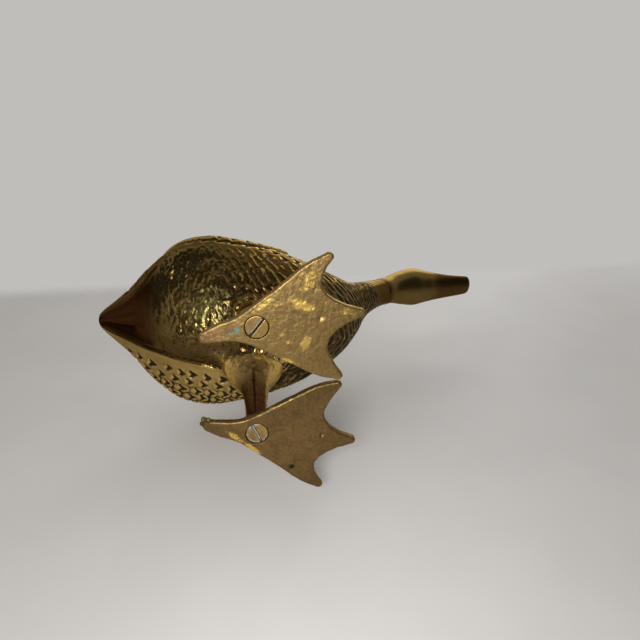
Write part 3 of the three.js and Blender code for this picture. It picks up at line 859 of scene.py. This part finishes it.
def relief_tree():
    """Geometry nodes that raise and cut the feather relief on a skin along its own normals."""
    tree, given, end = group_tree("feather_relief", "GeometryNodeTree", {
        "Geometry": "Geometry",
        "Scale Depth": 0.8 * MM,
        "Stroke Depth": 0.6 * MM,
        "Quill Depth": 0.5 * MM,
        "Lump Height": 0.7 * MM,
        "Lump Size": 5 * MM,
        "Lump Draw": (1.0, 1.0, 1.0),
        "Seed": 7,
        "Finish": "Material",
    }, {"Geometry": "Geometry"})

    def mark(name, kind="FLOAT"):
        return field(tree, "GeometryNodeInputNamedAttribute", {"Name": name}, "Attribute", data_type=kind)

    place = field(tree, "GeometryNodeInputPosition")
    drift_along, drift_across, _ = noise(place, 14 * MM, detail=1.0, output="Color").parts()
    height = mark("swell")
    recess = None
    for name, depth, pattern, wander in FEATHERS:
        ahead, across, zone = mark(name, "FLOAT_VECTOR").parts()
        ahead = ahead + (drift_along - 0.5) * wander
        across = across + (drift_across - 0.5) * wander
        lift, groove = pattern((ahead, across, zone), given["Seed"])
        height = height + lift * given[depth]
        recess = groove if recess is None else recess.larger(groove)
    drawn = field(tree, "ShaderNodeVectorMath", {0: place, 1: given["Lump Draw"]}, operation="MULTIPLY")
    large = noise(drawn, given["Lump Size"], detail=1.0, distortion=0.8) - 0.5
    small = noise(drawn, given["Lump Size"] / 2.2, detail=1.5, distortion=1.2) - 0.5
    lumps = (large * 2.0 + small * 1.3) * mark("lumps")
    height = height + lumps * given["Lump Height"]
    recess = recess.larger((0 - lumps).ramp(0.25, 0.8) * 0.6) * mark("ink")

    lift = mark("lift", "FLOAT_VECTOR")
    offset = field(tree, "ShaderNodeVectorMath", {0: lift, "Scale": height}, operation="SCALE")
    moved = field(tree, "GeometryNodeSetPosition", {"Geometry": given["Geometry"], "Offset": offset})
    kept = field(tree, "GeometryNodeStoreNamedAttribute", {
        "Geometry": moved, "Name": "recess", "Value": recess}, data_type="FLOAT", domain="POINT")
    dress(kept, given["Finish"], end)
    return tree


ROUND_SIDES = 96


def screw_tree():
    """Geometry nodes for a slotted countersunk screw whose head faces down at z = 0 of its own frame."""
    tree, given, end = group_tree("slotted_screw", "GeometryNodeTree", {
        "Geometry": "Geometry",
        "Head Radius": 4.6 * MM,
        "Head Land": 0.4 * MM,
        "Shank Radius": 2.35 * MM,
        "Length": 12.5 * MM,
        "Slot Width": 1.3 * MM,
        "Slot Depth": 1.2 * MM,
        "Slot Angle": 0.0,
        "Place": "Vector",
        "Finish": "Material",
    }, {"Geometry": "Geometry"})
    land, radius, shank = given["Head Land"], given["Head Radius"], given["Shank Radius"]
    taper = radius - shank
    rod_length = given["Length"] - land - taper * 0.5

    def upright(height):
        return field(tree, "ShaderNodeCombineXYZ", {"Z": height})

    def turned(kind, height, sizes):
        shape = field(tree, kind, {"Vertices": ROUND_SIDES, **sizes}, "Mesh")
        return field(tree, "GeometryNodeTransform", {"Geometry": shape, "Translation": upright(height)})

    solids = (
        turned("GeometryNodeMeshCylinder", land * 0.5, {"Radius": radius, "Depth": land}),
        turned("GeometryNodeMeshCone", land, {"Radius Top": shank, "Radius Bottom": radius, "Depth": taper}),
        turned("GeometryNodeMeshCylinder", land + taper * 0.5 + rod_length * 0.5,
               {"Radius": shank, "Depth": rod_length}),
    )
    join = node(tree, "GeometryNodeMeshBoolean", operation="UNION", solver="EXACT")
    for solid in solids:
        feed(solid, join.inputs["Mesh 2"])
    size = field(tree, "ShaderNodeCombineXYZ", {
        "X": radius * 3, "Y": given["Slot Width"], "Z": given["Slot Depth"] * 2})
    block = field(tree, "GeometryNodeMeshCube", {"Size": size}, "Mesh")
    slot = field(tree, "GeometryNodeTransform", {"Geometry": block, "Rotation": upright(given["Slot Angle"])})
    cut = field(tree, "GeometryNodeMeshBoolean", {"Mesh 1": Field(join.outputs[0]), "Mesh 2": slot},
                operation="DIFFERENCE", solver="EXACT")
    placed = field(tree, "GeometryNodeTransform", {"Geometry": cut, "Translation": given["Place"]})
    dress(placed, given["Finish"], end)
    return tree


def carrier_of(mesh):
    """Object that carries a mesh through modifiers."""
    carrier = bpy.data.objects.new("carrier", mesh)
    bpy.context.scene.collection.objects.link(carrier)
    return carrier


def evaluated(carrier):
    """Plain mesh that a carrier's modifiers make. The carrier and the mesh it had are removed."""
    bpy.context.view_layer.update()
    graph = bpy.context.evaluated_depsgraph_get()
    made = bpy.data.meshes.new_from_object(carrier.evaluated_get(graph), depsgraph=graph)
    old = carrier.data
    bpy.data.objects.remove(carrier)
    bpy.data.meshes.remove(old)
    return made


def through_tree(mesh, tree, values):
    """Mesh that a geometry node tree makes from another, with the tree's inputs set by their names."""
    carrier = carrier_of(mesh)
    modifier = carrier.modifiers.new(tree.name, "NODES")
    modifier.node_group = tree
    for socket in tree.interface.items_tree:
        if socket.name in values and socket.in_out == "INPUT":
            modifier[socket.identifier] = values[socket.name]
    return evaluated(carrier)


def worn_down(mesh, voxel):
    """Mesh with its edges rounded over, on an even grid of points."""
    carrier = carrier_of(mesh)
    remesh = carrier.modifiers.new("remesh", "REMESH")
    remesh.mode = "VOXEL"
    remesh.voxel_size = voxel
    soften = carrier.modifiers.new("soften", "SMOOTH")
    soften.factor = 0.5
    soften.iterations = 2
    made = evaluated(carrier)
    made.shade_smooth()
    return made


def tree_named(name, maker):
    """The tree of that name, made the first time that it is asked for."""
    return bpy.data.node_groups.get(name) or maker()


SHARP_ANGLE = math.radians(75)


def cast(mesh, form, material, lumps=1.0, lump_size=1.0, draw=(1.0, 1.0, 1.0)):
    """Mesh with the feather relief and the roughness of the casting on it, whose lumps may be drawn out."""
    made = through_tree(mesh, tree_named("feather_relief", relief_tree), {
        "Scale Depth": form.scale_depth,
        "Stroke Depth": form.stroke_depth,
        "Quill Depth": form.quill_depth,
        "Lump Height": form.lump_height * lumps,
        "Lump Size": form.lump_size * lump_size,
        "Lump Draw": draw,
        "Seed": form.seed,
        "Finish": material,
    })
    for key in ("scale", "stroke", "quill", "swell", "lumps", "ink", "lift"):
        if key in made.attributes:
            made.attributes.remove(made.attributes[key])
    made.set_sharp_from_angle(angle=SHARP_ANGLE)
    return made


def coordinates(mesh, normals=False):
    """Points of a mesh, or the normals at them, as an array."""
    source, part = (mesh.vertex_normals, "vector") if normals else (mesh.vertices, "co")
    values = np.zeros(3 * len(source), np.float32)
    source.foreach_get(part, values)
    return values.reshape(-1, 3).astype(float)


def store_edges(mesh, rounds, low, high):
    """Keeps how far each point stands out from those round it, where hands and cloths rub the metal. The
    dressed seam in the bird's middle isn't counted."""
    points, normals = coordinates(mesh), coordinates(mesh, normals=True)
    total = len(points)
    ends = np.zeros(2 * len(mesh.edges), np.int32)
    mesh.edges.foreach_get("vertices", ends)
    first, second = ends.reshape(-1, 2).T
    count = np.bincount(ends, minlength=total)[:, None].clip(1)

    def mean(values):
        sums = [np.bincount(first, column[second], total) + np.bincount(second, column[first], total)
                for column in values.T]
        return np.stack(sums, axis=-1) / count

    smooth = points
    for _ in range(rounds):
        smooth = mean(smooth)
    proud = np.sum((points - smooth) * normals, axis=1)[:, None]
    proud = 0.5 * proud + 0.5 * mean(proud)
    store(mesh, "edge", ramp(proud[:, 0], low, high) * ramp(np.abs(points[:, 1]), 1.2 * MM, 3 * MM))


def add_piece(name, mesh, body, slot, *nodes):
    """Finished piece at the origin that rides on its body and stands for its solids."""
    piece = bpy.data.objects.new(name, mesh)
    mesh.name = name
    bpy.context.scene.collection.objects.link(piece)
    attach(piece, body)
    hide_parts(*nodes)


# Finishes

def empty_tree(owner):
    """Cleared node tree of a material or world."""
    owner.use_nodes = True
    owner.node_tree.nodes.clear()
    return owner.node_tree


def tarnish_group():
    """Shader group for old brass: mottled, tarnished in its marks and in clouds, rubbed bright, scratched."""
    tree, given, end = group_tree("old_brass", "ShaderNodeTree", {
        "Brass": "Color",
        "Mottle": "Color",
        "Patina": "Color",
        "Worn": "Color",
        "Spot Color": "Color",
        "Recess": 0.0,
        "Edge": 0.0,
        "Gilt": 0.0,
        "Spot": 0.0,
        "Spot Dullness": 0.0,
        "Tarnish": 0.4,
        "Mottling": 0.3,
        "Wear": 0.5,
        "Gloss": 0.25,
        "Haze": 0.0,
    }, {"Color": "Color", "Roughness": "Float", "Metallic": "Float", "Height": "Float"})
    place = field(tree, "ShaderNodeTexCoord", output="Object")
    cloud = noise(place, 16 * MM, detail=5.0, distortion=0.6)
    blotch = noise(place, 4.5 * MM, detail=5.0, distortion=0.4)
    speck = noise(place, 1.3 * MM, detail=5.0)
    grain = noise(place, 0.5 * MM)
    hairs = field(tree, "ShaderNodeMapping", {
        "Vector": place, "Scale": (220, 1400, 1400), "Rotation": (0.4, 0.5, 0.7)})
    scratch = noise(hairs, 1.0, detail=2.0)

    mottle = (speck * 0.45 + blotch * 0.2 + grain * 0.35).ramp(0.38, 0.62) * given["Mottling"]
    clouds = cloud.ramp(0.38, 0.68) * 0.7 + blotch.ramp(0.4, 0.7) * 0.3
    film = (clouds * given["Tarnish"] + (grain - 0.5) * 0.2).larger(0.0)
    dark = (given["Recess"] * (0.6 + speck * 0.8)).ramp(0.12, 0.55)
    cover = film.larger(dark).smaller(1.0)
    rubbed = (given["Edge"] * (0.35 + blotch * 1.3)).ramp(0.3, 0.75) * given["Wear"]
    ragged = (speck - 0.5) * 1.6 + (blotch - 0.5) * 1.2
    gilt = (given["Gilt"] + ragged + (grain - 0.5) * 0.8).ramp(0.3, 0.75)
    gilt = gilt * given["Gilt"].ramp(0.0, 0.3)
    bright = rubbed.larger(gilt * 0.9)
    spot = (given["Spot"] + ragged).ramp(0.4, 0.75) * given["Spot"].ramp(0.0, 0.2)

    colour = blended(mottle, given["Brass"], given["Mottle"])
    colour = blended(cover, colour, given["Patina"])
    colour = blended(bright, colour, given["Worn"])
    colour = blended(spot, colour, given["Spot Color"])
    rough = given["Gloss"] + film * 0.15 + mottle * 0.06 + dark * 0.3 + (scratch - 0.5) * 0.1
    rough = rough - bright * 0.05 + spot * 0.15
    rough = rough + (speck * 0.5 + blotch * 0.5).ramp(0.5, 0.57) * given["Haze"]
    metal = (1 - dark * 0.5) * (1 - spot * given["Spot Dullness"])
    tall = grain * 0.4 + speck * 0.4 + scratch * 0.2
    for value, label in ((colour, "Color"), (rough, "Roughness"), (metal, "Metallic"), (tall, "Height")):
        feed(value, end.inputs[label])
    return tree


def old_brass(name, finish, brass, amounts, bump, polish, blush=None, spot_colour=None):
    """Old brass with its own amounts of tarnish, mottling, wear and gloss. The attribute named finish says
    where it is polished, which takes that much off its roughness and makes it brown, where it has a blush of
    another colour, and where it is dim."""
    material = bpy.data.materials.get(name) or bpy.data.materials.new(name)
    tree = empty_tree(material)
    group = node(tree, "ShaderNodeGroup", node_tree=tree_named("old_brass", tarnish_group))
    marks = field(tree, "ShaderNodeAttribute", output="Vector", attribute_name="finish")
    polished, blushed, dim = marks.parts()
    # Where the finish says dim the brass darkens, which on the bird's body is painted shade
    metal = blended(dim, brass, finish.dim)
    metal = blended(polished, metal, finish.bronze)
    feed(blended(blushed, metal, blush or finish.ruddy), group.inputs["Brass"])
    feed(blended(dim, finish.umber, toned(finish.umber, 0.5)), group.inputs["Mottle"])
    feed(amounts["Gloss"] - polished * polish, group.inputs["Gloss"])
    feed(polished * amounts.get("Haze", 0.0), group.inputs["Haze"])
    for label in ("Tarnish", "Mottling", "Wear", "Spot Dullness"):
        group.inputs[label].default_value = amounts.get(label, 0.0)
    colours = {"Patina": finish.patina, "Worn": finish.worn, "Spot Color": spot_colour or finish.verdigris}
    for label, colour in colours.items():
        group.inputs[label].default_value = (*colour, 1)
    for label in ("Recess", "Edge", "Gilt", "Spot"):
        mark = field(tree, "ShaderNodeAttribute", output="Fac", attribute_name=label.lower())
        if label == "Edge":
            mark = mark * (1 - polished.larger(blushed) * 0.85)
        feed(mark, group.inputs[label])
    color, roughness, metallic, height = (Field(socket) for socket in group.outputs)
    relief = field(tree, "ShaderNodeBump", {"Height": height, "Distance": bump})
    shader = field(tree, "ShaderNodeBsdfPrincipled", {
        "Base Color": color, "Roughness": roughness, "Metallic": metallic, "Normal": relief,
        "Specular Tint": (0.62, 0.57, 0.48, 1)})
    node(tree, "ShaderNodeOutputMaterial", {"Surface": shader})
    return material


# Operators

class DUCK_OT_body(bpy.types.Operator):
    """Make the two halves of the hollow body with their feather relief"""

    bl_idname = "duck.body"
    bl_label = "Body halves"

    def execute(self, context):
        form, finish = context.scene.duck_form, context.scene.duck_finish
        amounts = {"Tarnish": 0.25, "Mottling": 0.25, "Wear": 0.5, "Gloss": 0.3, "Haze": 0.08}
        polished = old_brass("polished_brass", finish, finish.brass, amounts, bump=0.03 * MM, polish=0.09,
                             spot_colour=finish.olive)
        for name, side in SIDES.items():
            mesh = cast(body_half(form, side), form, polished, lumps=0.8, draw=(1.4, 0.7, 1.0))
            store_edges(mesh, rounds=6, low=0.03 * MM, high=0.16 * MM)
            add_piece(f"{name}_body", mesh, "bird", "polished_brass", f"body_{name}_half")
        return {"FINISHED"}


class DUCK_OT_neck_head(bpy.types.Operator):
    """Make the neck and head, with strokes on the neck, from the brass of the body"""

    bl_idname = "duck.neck_head"
    bl_label = "Neck and head"

    def execute(self, context):
        form = context.scene.duck_form
        mesh = cast(neck_head(form), form, bpy.data.materials["polished_brass"])
        store_edges(mesh, rounds=6, low=0.05 * MM, high=0.2 * MM)
        add_piece("neck_and_head", mesh, "bird", "polished_brass", "neck_head")
        return {"FINISHED"}


class DUCK_OT_legs(bpy.types.Operator):
    """Make the two legs as rough castings that flare into the belly"""

    bl_idname = "duck.legs"
    bl_label = "Legs"

    def execute(self, context):
        form, finish = context.scene.duck_form, context.scene.duck_finish
        amounts = {"Tarnish": 0.18, "Mottling": 0.45, "Wear": 0.8, "Gloss": 0.32}
        brass = toned(finish.brass, 1.85)
        rough = old_brass("cast_brass", finish, brass, amounts, bump=0.08 * MM, polish=0.1)
        for name, side in SIDES.items():
            mesh = cast(leg(form, side), form, rough, lumps=1.1, lump_size=0.7)
            store_edges(mesh, rounds=6, low=0.02 * MM, high=0.12 * MM)
            add_piece(f"leg_{name}", mesh, "bird", "cast_brass", f"{name}_leg")
        return {"FINISHED"}


# Patches on a sole: place from its screw, forward and outward, half length, half width, in millimetres,
# turn of the long side from forward to outward in degrees, strength
RUBBED = {
    "left": (
        (-8.8, 1.4, 6.4, 1.7, 42, 0.75), (-1.6, 7.5, 5.6, 1.6, 38, 0.8), (7.6, -13.0, 12.0, 1.4, -26, 0.5)),
    "right": (
        (17.8, 9.0, 7.0, 2.7, -25, 0.9), (19.4, -7.2, 5.0, 2.6, 65, 0.9), (9.9, -3.0, 1.8, 1.3, 0, 0.7),
        (12.3, -6.2, 1.4, 1.0, 30, 0.7), (3.2, 9.6, 7.0, 1.5, 36, 0.75), (20.0, 19.0, 7.5, 3.4, 62, 0.55),
        (12.6, -14.6, 4.4, 1.4, -20, 0.9), (36.0, 6.4, 5.5, 2.4, 0, 0.5)),
}
GREENED = {
    "left": (),
    "right": ((-7.6, -1.0, 3.0, 1.8, 80, 0.8), (-9.8, -2.4, 1.8, 0.9, 10, 0.65)),
}
BLUSHED = {
    "left": ((4.0, 2.0, 40, 30, 0, 0.12),),
    "right": ((-16.8, -2.6, 5.6, 3.6, 0, 0.6), (29.5, 2.8, 4.0, 1.2, -12, 0.5)),
}
DIMMED = {"left": 0.54, "right": 0.0}
# Dents and a pit in the soles: place from the screw, forward and outward, radius, depth, in millimetres
PIT = (15.2, 17.7, 1.1, 0.8)
DENTS = {"left": ((27.9, 1.8, 0.95, 0.7), PIT), "right": ((25.1, 4.0, 1.15, 0.55),)}
# Flash at the left heel: place from the screw, forward, outward and up, radius, in millimetres
HEEL_FLASH = (
    (-21.9, -7.0, 1.6, 1.3), (-20.0, -6.9, 1.2, 1.2), (-17.6, -5.9, 1.5, 1.1), (-22.6, -5.0, 1.8, 1.2))
FOOT_VOXEL, SCREW_VOXEL = 0.3 * MM, 0.16 * MM


def patches(points, side, places):
    """Strongest of the soft long patches on a sole at each point, strongest along the middle of a patch."""
    total = np.zeros(len(points))
    fore = points[:, 0] / MM - SCREW_X / MM
    out = side * points[:, 1] / MM - STANCE / MM
    for at_fore, at_out, length, width, turn, strength in places:
        turn = math.radians(turn)
        ahead = (fore - at_fore) * math.cos(turn) + (out - at_out) * math.sin(turn)
        beside = (out - at_out) * math.cos(turn) - (fore - at_fore) * math.sin(turn)
        reach = np.hypot(ahead / length, beside / width)
        total = np.maximum(total, strength * (1 - ramp(reach, 0.2, 1.25)))
    return total * (points[:, 2] < 1.5 * MM)


def closeness(points, side, place, radius):
    """Closeness to a place given from the foot's screw, in millimetres, which fades over a radius."""
    centre = MM * np.array(place) + (SCREW_X, STANCE, 0)
    return ridge(np.linalg.norm(points * (1, side, 1) - centre, axis=1), radius * MM)


class DUCK_OT_feet(bpy.types.Operator):
    """Make the two webbed feet from their solids, softened and worn as old castings are"""

    bl_idname = "duck.feet"
    bl_label = "Feet"

    def execute(self, context):
        form, finish = context.scene.duck_form, context.scene.duck_finish
        amounts = {"Tarnish": 0.25, "Mottling": 0.8, "Wear": 0.2, "Gloss": 0.44, "Spot Dullness": 0.8}
        dull = old_brass("sole_brass", finish, finish.sole, amounts, bump=0.1 * MM, polish=0.3,
                         blush=finish.copper)
        for name, side in SIDES.items():
            mesh = self.softened(f"{name}_foot", side)
            points = coordinates(mesh)
            ones = np.ones(len(points))
            swell = np.zeros_like(ones)
            for fore, out, radius, depth in DENTS[name]:
                swell -= depth * MM * closeness(points, side, (fore, out, 0), radius)
            normals = coordinates(mesh, normals=True)
            marks = {"lift": normals, "swell": swell, "lumps": 0.3 * ones, "ink": ones}
            for key, values in marks.items():
                store(mesh, key, values)
            mesh = cast(mesh, form, dull, lumps=0.8, lump_size=0.8)
            points = coordinates(mesh)
            store_edges(mesh, rounds=10, low=0.05 * MM, high=0.3 * MM)
            if side > 0:
                dark = closeness(points, side, (*PIT[:2], 0), PIT[2])
                for *place, radius in HEEL_FLASH:
                    dark = np.maximum(dark, 0.6 * closeness(points, side, place, 1.4 * radius))
                store(mesh, "recess", dark)
            store(mesh, "gilt", patches(points, side, RUBBED[name]))
            store(mesh, "spot", patches(points, side, GREENED[name]))
            blush = patches(points, side, BLUSHED[name])
            store(mesh, "finish", np.stack((0 * blush, blush, np.full(len(points), DIMMED[name])), axis=-1))
            add_piece(f"foot_{name}", mesh, f"{name}_foot_plate", "sole_brass", f"{name}_foot")
        return {"FINISHED"}

    def softened(self, cad_name, side):
        """Copy of a foot's solid with its edges rounded over, and ragged flash at the left heel."""
        work = bmesh.new()
        work.from_mesh(frame["nodes"][cad_name].data)
        bmesh.ops.remove_doubles(work, verts=work.verts, dist=0.001 * MM)
        if side > 0:
            for fore, out, height, radius in HEEL_FLASH:
                centre = Vector((SCREW_X + fore * MM, STANCE + out * MM, height * MM))
                bmesh.ops.create_icosphere(work, subdivisions=2, radius=radius * MM,
                                           matrix=Matrix.Translation(centre))
        mesh = bpy.data.meshes.new(cad_name)
        work.to_mesh(mesh)
        work.free()
        return worn_down(mesh, FOOT_VOXEL)


SLOT_ANGLE = {"left": math.radians(65), "right": math.radians(-54)}
HEAD_SINK = 0.35 * MM


class DUCK_OT_screws(bpy.types.Operator):
    """Make the two slotted screws that hold the feet"""

    bl_idname = "duck.screws"
    bl_label = "Foot screws"

    def execute(self, context):
        form, finish = context.scene.duck_form, context.scene.duck_finish
        amounts = {"Tarnish": 0.2, "Mottling": 0.6, "Wear": 0.6, "Gloss": 0.4, "Spot Dullness": 0.7}
        brass = toned(finish.sole, 1.25)
        filed = old_brass("screw_brass", finish, brass, amounts, bump=0.05 * MM, polish=0.0,
                          spot_colour=finish.bare)
        for name, side in SIDES.items():
            turn = SLOT_ANGLE[name]
            blank = bpy.data.meshes.new("blank")
            mesh = through_tree(blank, tree_named("slotted_screw", screw_tree), {
                "Head Radius": form.head_radius,
                "Slot Width": form.slot_width,
                "Slot Depth": form.slot_depth,
                "Slot Angle": turn,
                "Place": (SCREW_X, side * STANCE, HEAD_SINK),
                "Finish": filed,
            })
            mesh = worn_down(mesh, SCREW_VOXEL)
            mesh.materials.clear()
            mesh.materials.append(filed)
            # One wall of the slot is bare grey metal and the other dark with a painted shadow, and the left
            # head is bare at its rim
            x, y, _ = (coordinates(mesh) - (SCREW_X, side * STANCE, 0)).T
            off = (y * math.cos(turn) - x * math.sin(turn)) / form.slot_width
            in_slot = 1 - ramp(np.abs(off), 0.45, 0.75)
            shaded = in_slot * ramp(-side * off, -0.1, 0.15)
            bare = in_slot - shaded
            if side > 0:
                bare = np.maximum(bare, 0.5 * ramp(np.hypot(x, y) / form.head_radius, 0.74, 0.84))
            store(mesh, "spot", bare)
            store(mesh, "recess", shaded)
            store_edges(mesh, rounds=6, low=0.02 * MM, high=0.1 * MM)
            add_piece(f"screw_{name}", mesh, f"{name}_screw", "screw_brass", f"{name}_foot_screw")
        return {"FINISHED"}


# Camera of the photograph: place from the screws, in millimetres, its right and down, focal length in pixels
CAMERA_PLACE = (-2.01, -93.22, -176.6)
CAMERA_RIGHT = (0.990, -0.0416, -0.1347)
CAMERA_DOWN = (-0.0081, 0.937, -0.3492)
FOCAL_PIXELS, PHOTO_PIXELS = 483.0, 640.0
SENSOR_WIDTH = 36
# The bird lies on its left side in the photograph, on this plane
TABLE_NORMAL = Vector((-0.05, -0.99, -0.127)).normalized()
TABLE_END, TABLE_FADE = 0.245, 0.03
# Room between the bird and the table, in which the left foot can turn out
TABLE_GAP = 10 * MM
FLOOR_GAP = 0.2 * MM
BOARD_RADIUS = 0.5
# Light of the room from its sides and above, on top of a dim light from everywhere
ROOM_LIGHT, DIM_LIGHT = 0.6, 0.06
LIT_POINT = Vector((0, 0, 0.07))
# Place of the flash from the camera
FLASH_OFFSET = Vector((-0.03, 0.02, -0.01))


class DUCK_OT_stage(bpy.types.Operator):
    """Make the camera, the soft lights, the pale table and the floor"""

    bl_idname = "duck.stage"
    bl_label = "Stage"

    def execute(self, context):
        finish = context.scene.duck_finish
        context.scene.view_settings.view_transform = "Standard"
        eye = Vector(CAMERA_PLACE) * MM + Vector((SCREW_X, 0, 0))
        self.camera(context, eye)
        self.world(context, finish)
        # Every seventh point is enough to find how far the bird reaches
        lowest = min(TABLE_NORMAL.dot(Vector(point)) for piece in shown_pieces()
                     for point in coordinates(piece.data)[::7])
        pale = self.pale(finish)
        self.disc("stage_table", TABLE_NORMAL * (lowest - TABLE_GAP), TABLE_NORMAL, pale)
        floor = self.disc("stage_floor", Vector((0, 0, -FLOOR_GAP)), Vector((0, 0, 1)), pale)
        for ray in ("diffuse", "glossy", "transmission", "shadow"):
            setattr(floor, f"visible_{ray}", False)
        self.lamp(context, "flash", eye + FLASH_OFFSET, size=0.09, power=0.35)
        self.lamp(context, "top_box", Vector((0.25, -0.35, 0.75)), size=0.6, power=2.4)
        return {"FINISHED"}

    def camera(self, context, eye):
        """Camera at the photograph's place, turned as it was."""
        right, down = Vector(CAMERA_RIGHT).normalized(), Vector(CAMERA_DOWN).normalized()
        data = bpy.data.cameras.new("camera")
        data.sensor_width = SENSOR_WIDTH
        data.lens = SENSOR_WIDTH * FOCAL_PIXELS / PHOTO_PIXELS
        data.clip_start = 5 * MM
        camera = bpy.data.objects.new("camera", data)
        context.scene.collection.objects.link(camera)
        turn = Matrix((right, -down, right.cross(-down))).transposed().to_4x4()
        camera.matrix_world = Matrix.Translation(eye) @ turn
        context.scene.camera = camera

    def world(self, context, finish):
        """Soft room: a pale backdrop all round and overhead, and dim below the floor."""
        world = bpy.data.worlds.new("studio")
        context.scene.world = world
        tree = empty_tree(world)
        _, _, up = field(tree, "ShaderNodeTexCoord", output="Generated").parts()
        light = up.ramp(-0.4, -0.05) * ROOM_LIGHT + DIM_LIGHT
        room = field(tree, "ShaderNodeBackground", {"Color": (*finish.stage, 1), "Strength": light})
        node(tree, "ShaderNodeOutputWorld", {"Surface": room})

    def pale(self, finish):
        """Pale board that fades out at its rim and at the table's far end, and doesn't show from behind."""
        material = bpy.data.materials.new("pale_board")
        tree = empty_tree(material)
        uv = field(tree, "ShaderNodeUVMap")
        rim = field(tree, "ShaderNodeVectorMath", {0: uv}, "Value", operation="LENGTH").ramp(0.55, 1.0)
        _, _, up = field(tree, "ShaderNodeTexCoord", output="Object").parts()
        fade = rim.larger(up.ramp(TABLE_END, TABLE_END + TABLE_FADE))
        behind = field(tree, "ShaderNodeNewGeometry", output="Backfacing")
        speck = noise(uv, 0.1, detail=5.0).ramp(0.3, 0.7)
        shade = blended(speck, finish.stage, toned(finish.stage, 0.96))
        board = field(tree, "ShaderNodeBsdfPrincipled", {"Base Color": shade, "Roughness": 0.6})
        clear = field(tree, "ShaderNodeBsdfTransparent")
        mix = field(tree, "ShaderNodeMixShader", {0: behind.larger(fade), 1: board, 2: clear})
        node(tree, "ShaderNodeOutputMaterial", {"Surface": mix})
        return material

    def disc(self, name, centre, normal, material):
        """Round board under the bird, whose UV runs from its middle to its rim."""
        mesh = bpy.data.meshes.new(name)
        work = bmesh.new()
        layer = work.loops.layers.uv.new("UVMap")
        turn = normal.to_track_quat("Z", "X").to_matrix().to_4x4()
        under = Vector((CAD_BOX[0][k] + CAD_BOX[1][k] for k in range(3))) / 2
        middle = under - normal * normal.dot(under - centre)
        bmesh.ops.create_circle(work, cap_ends=True, segments=ROUND_SIDES, radius=1)
        for face in work.faces:
            for loop in face.loops:
                loop[layer].uv = loop.vert.co.xy
        work.transform(Matrix.Translation(middle) @ turn @ Matrix.Scale(BOARD_RADIUS, 4))
        work.to_mesh(mesh)
        work.free()
        mesh.materials.append(material)
        board = bpy.data.objects.new(name, mesh)
        bpy.context.scene.collection.objects.link(board)
        board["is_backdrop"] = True
        return board

    def lamp(self, context, name, place, size, power):
        """Round soft light that shines on the bird and isn't seen itself."""
        data = bpy.data.lights.new(name, "AREA")
        data.shape = "DISK"
        data.size = size
        data.energy = power
        lamp = bpy.data.objects.new(name, data)
        lamp.location = place
        lamp.rotation_mode = "QUATERNION"
        lamp.rotation_quaternion = (LIT_POINT - place).to_track_quat("-Z", "Y")
        lamp.visible_camera = False
        context.scene.collection.objects.link(lamp)


class DUCK_PT_sidebar(bpy.types.Panel):
    """Sizes and colours of the duck, and a button for each group of its pieces"""

    bl_idname = "DUCK_PT_sidebar"
    bl_label = "Cast brass duck"
    bl_space_type = "VIEW_3D"
    bl_region_type = "UI"
    bl_category = "Duck"

    def draw(self, context):
        for group in (context.scene.duck_form, context.scene.duck_finish):
            column = self.layout.column()
            for key in group.__annotations__:
                column.prop(group, key)
        for maker in OPERATORS:
            self.layout.operator(maker.bl_idname)


OPERATORS = (DUCK_OT_body, DUCK_OT_neck_head, DUCK_OT_legs, DUCK_OT_feet, DUCK_OT_screws, DUCK_OT_stage)
CLASSES = (DuckForm, DuckFinish, *OPERATORS, DUCK_PT_sidebar)


def register():
    for cls in CLASSES:
        bpy.utils.register_class(cls)
    bpy.types.Scene.duck_form = PointerProperty(type=DuckForm)
    bpy.types.Scene.duck_finish = PointerProperty(type=DuckFinish)


def unregister():
    del bpy.types.Scene.duck_finish
    del bpy.types.Scene.duck_form
    for cls in reversed(CLASSES):
        bpy.utils.unregister_class(cls)


def main():
    register()
    bpy.ops.duck.body()
    bpy.ops.duck.neck_head()
    bpy.ops.duck.legs()
    bpy.ops.duck.feet()
    bpy.ops.duck.screws()
    bpy.ops.duck.stage()


if __name__ == "__main__":
    main()
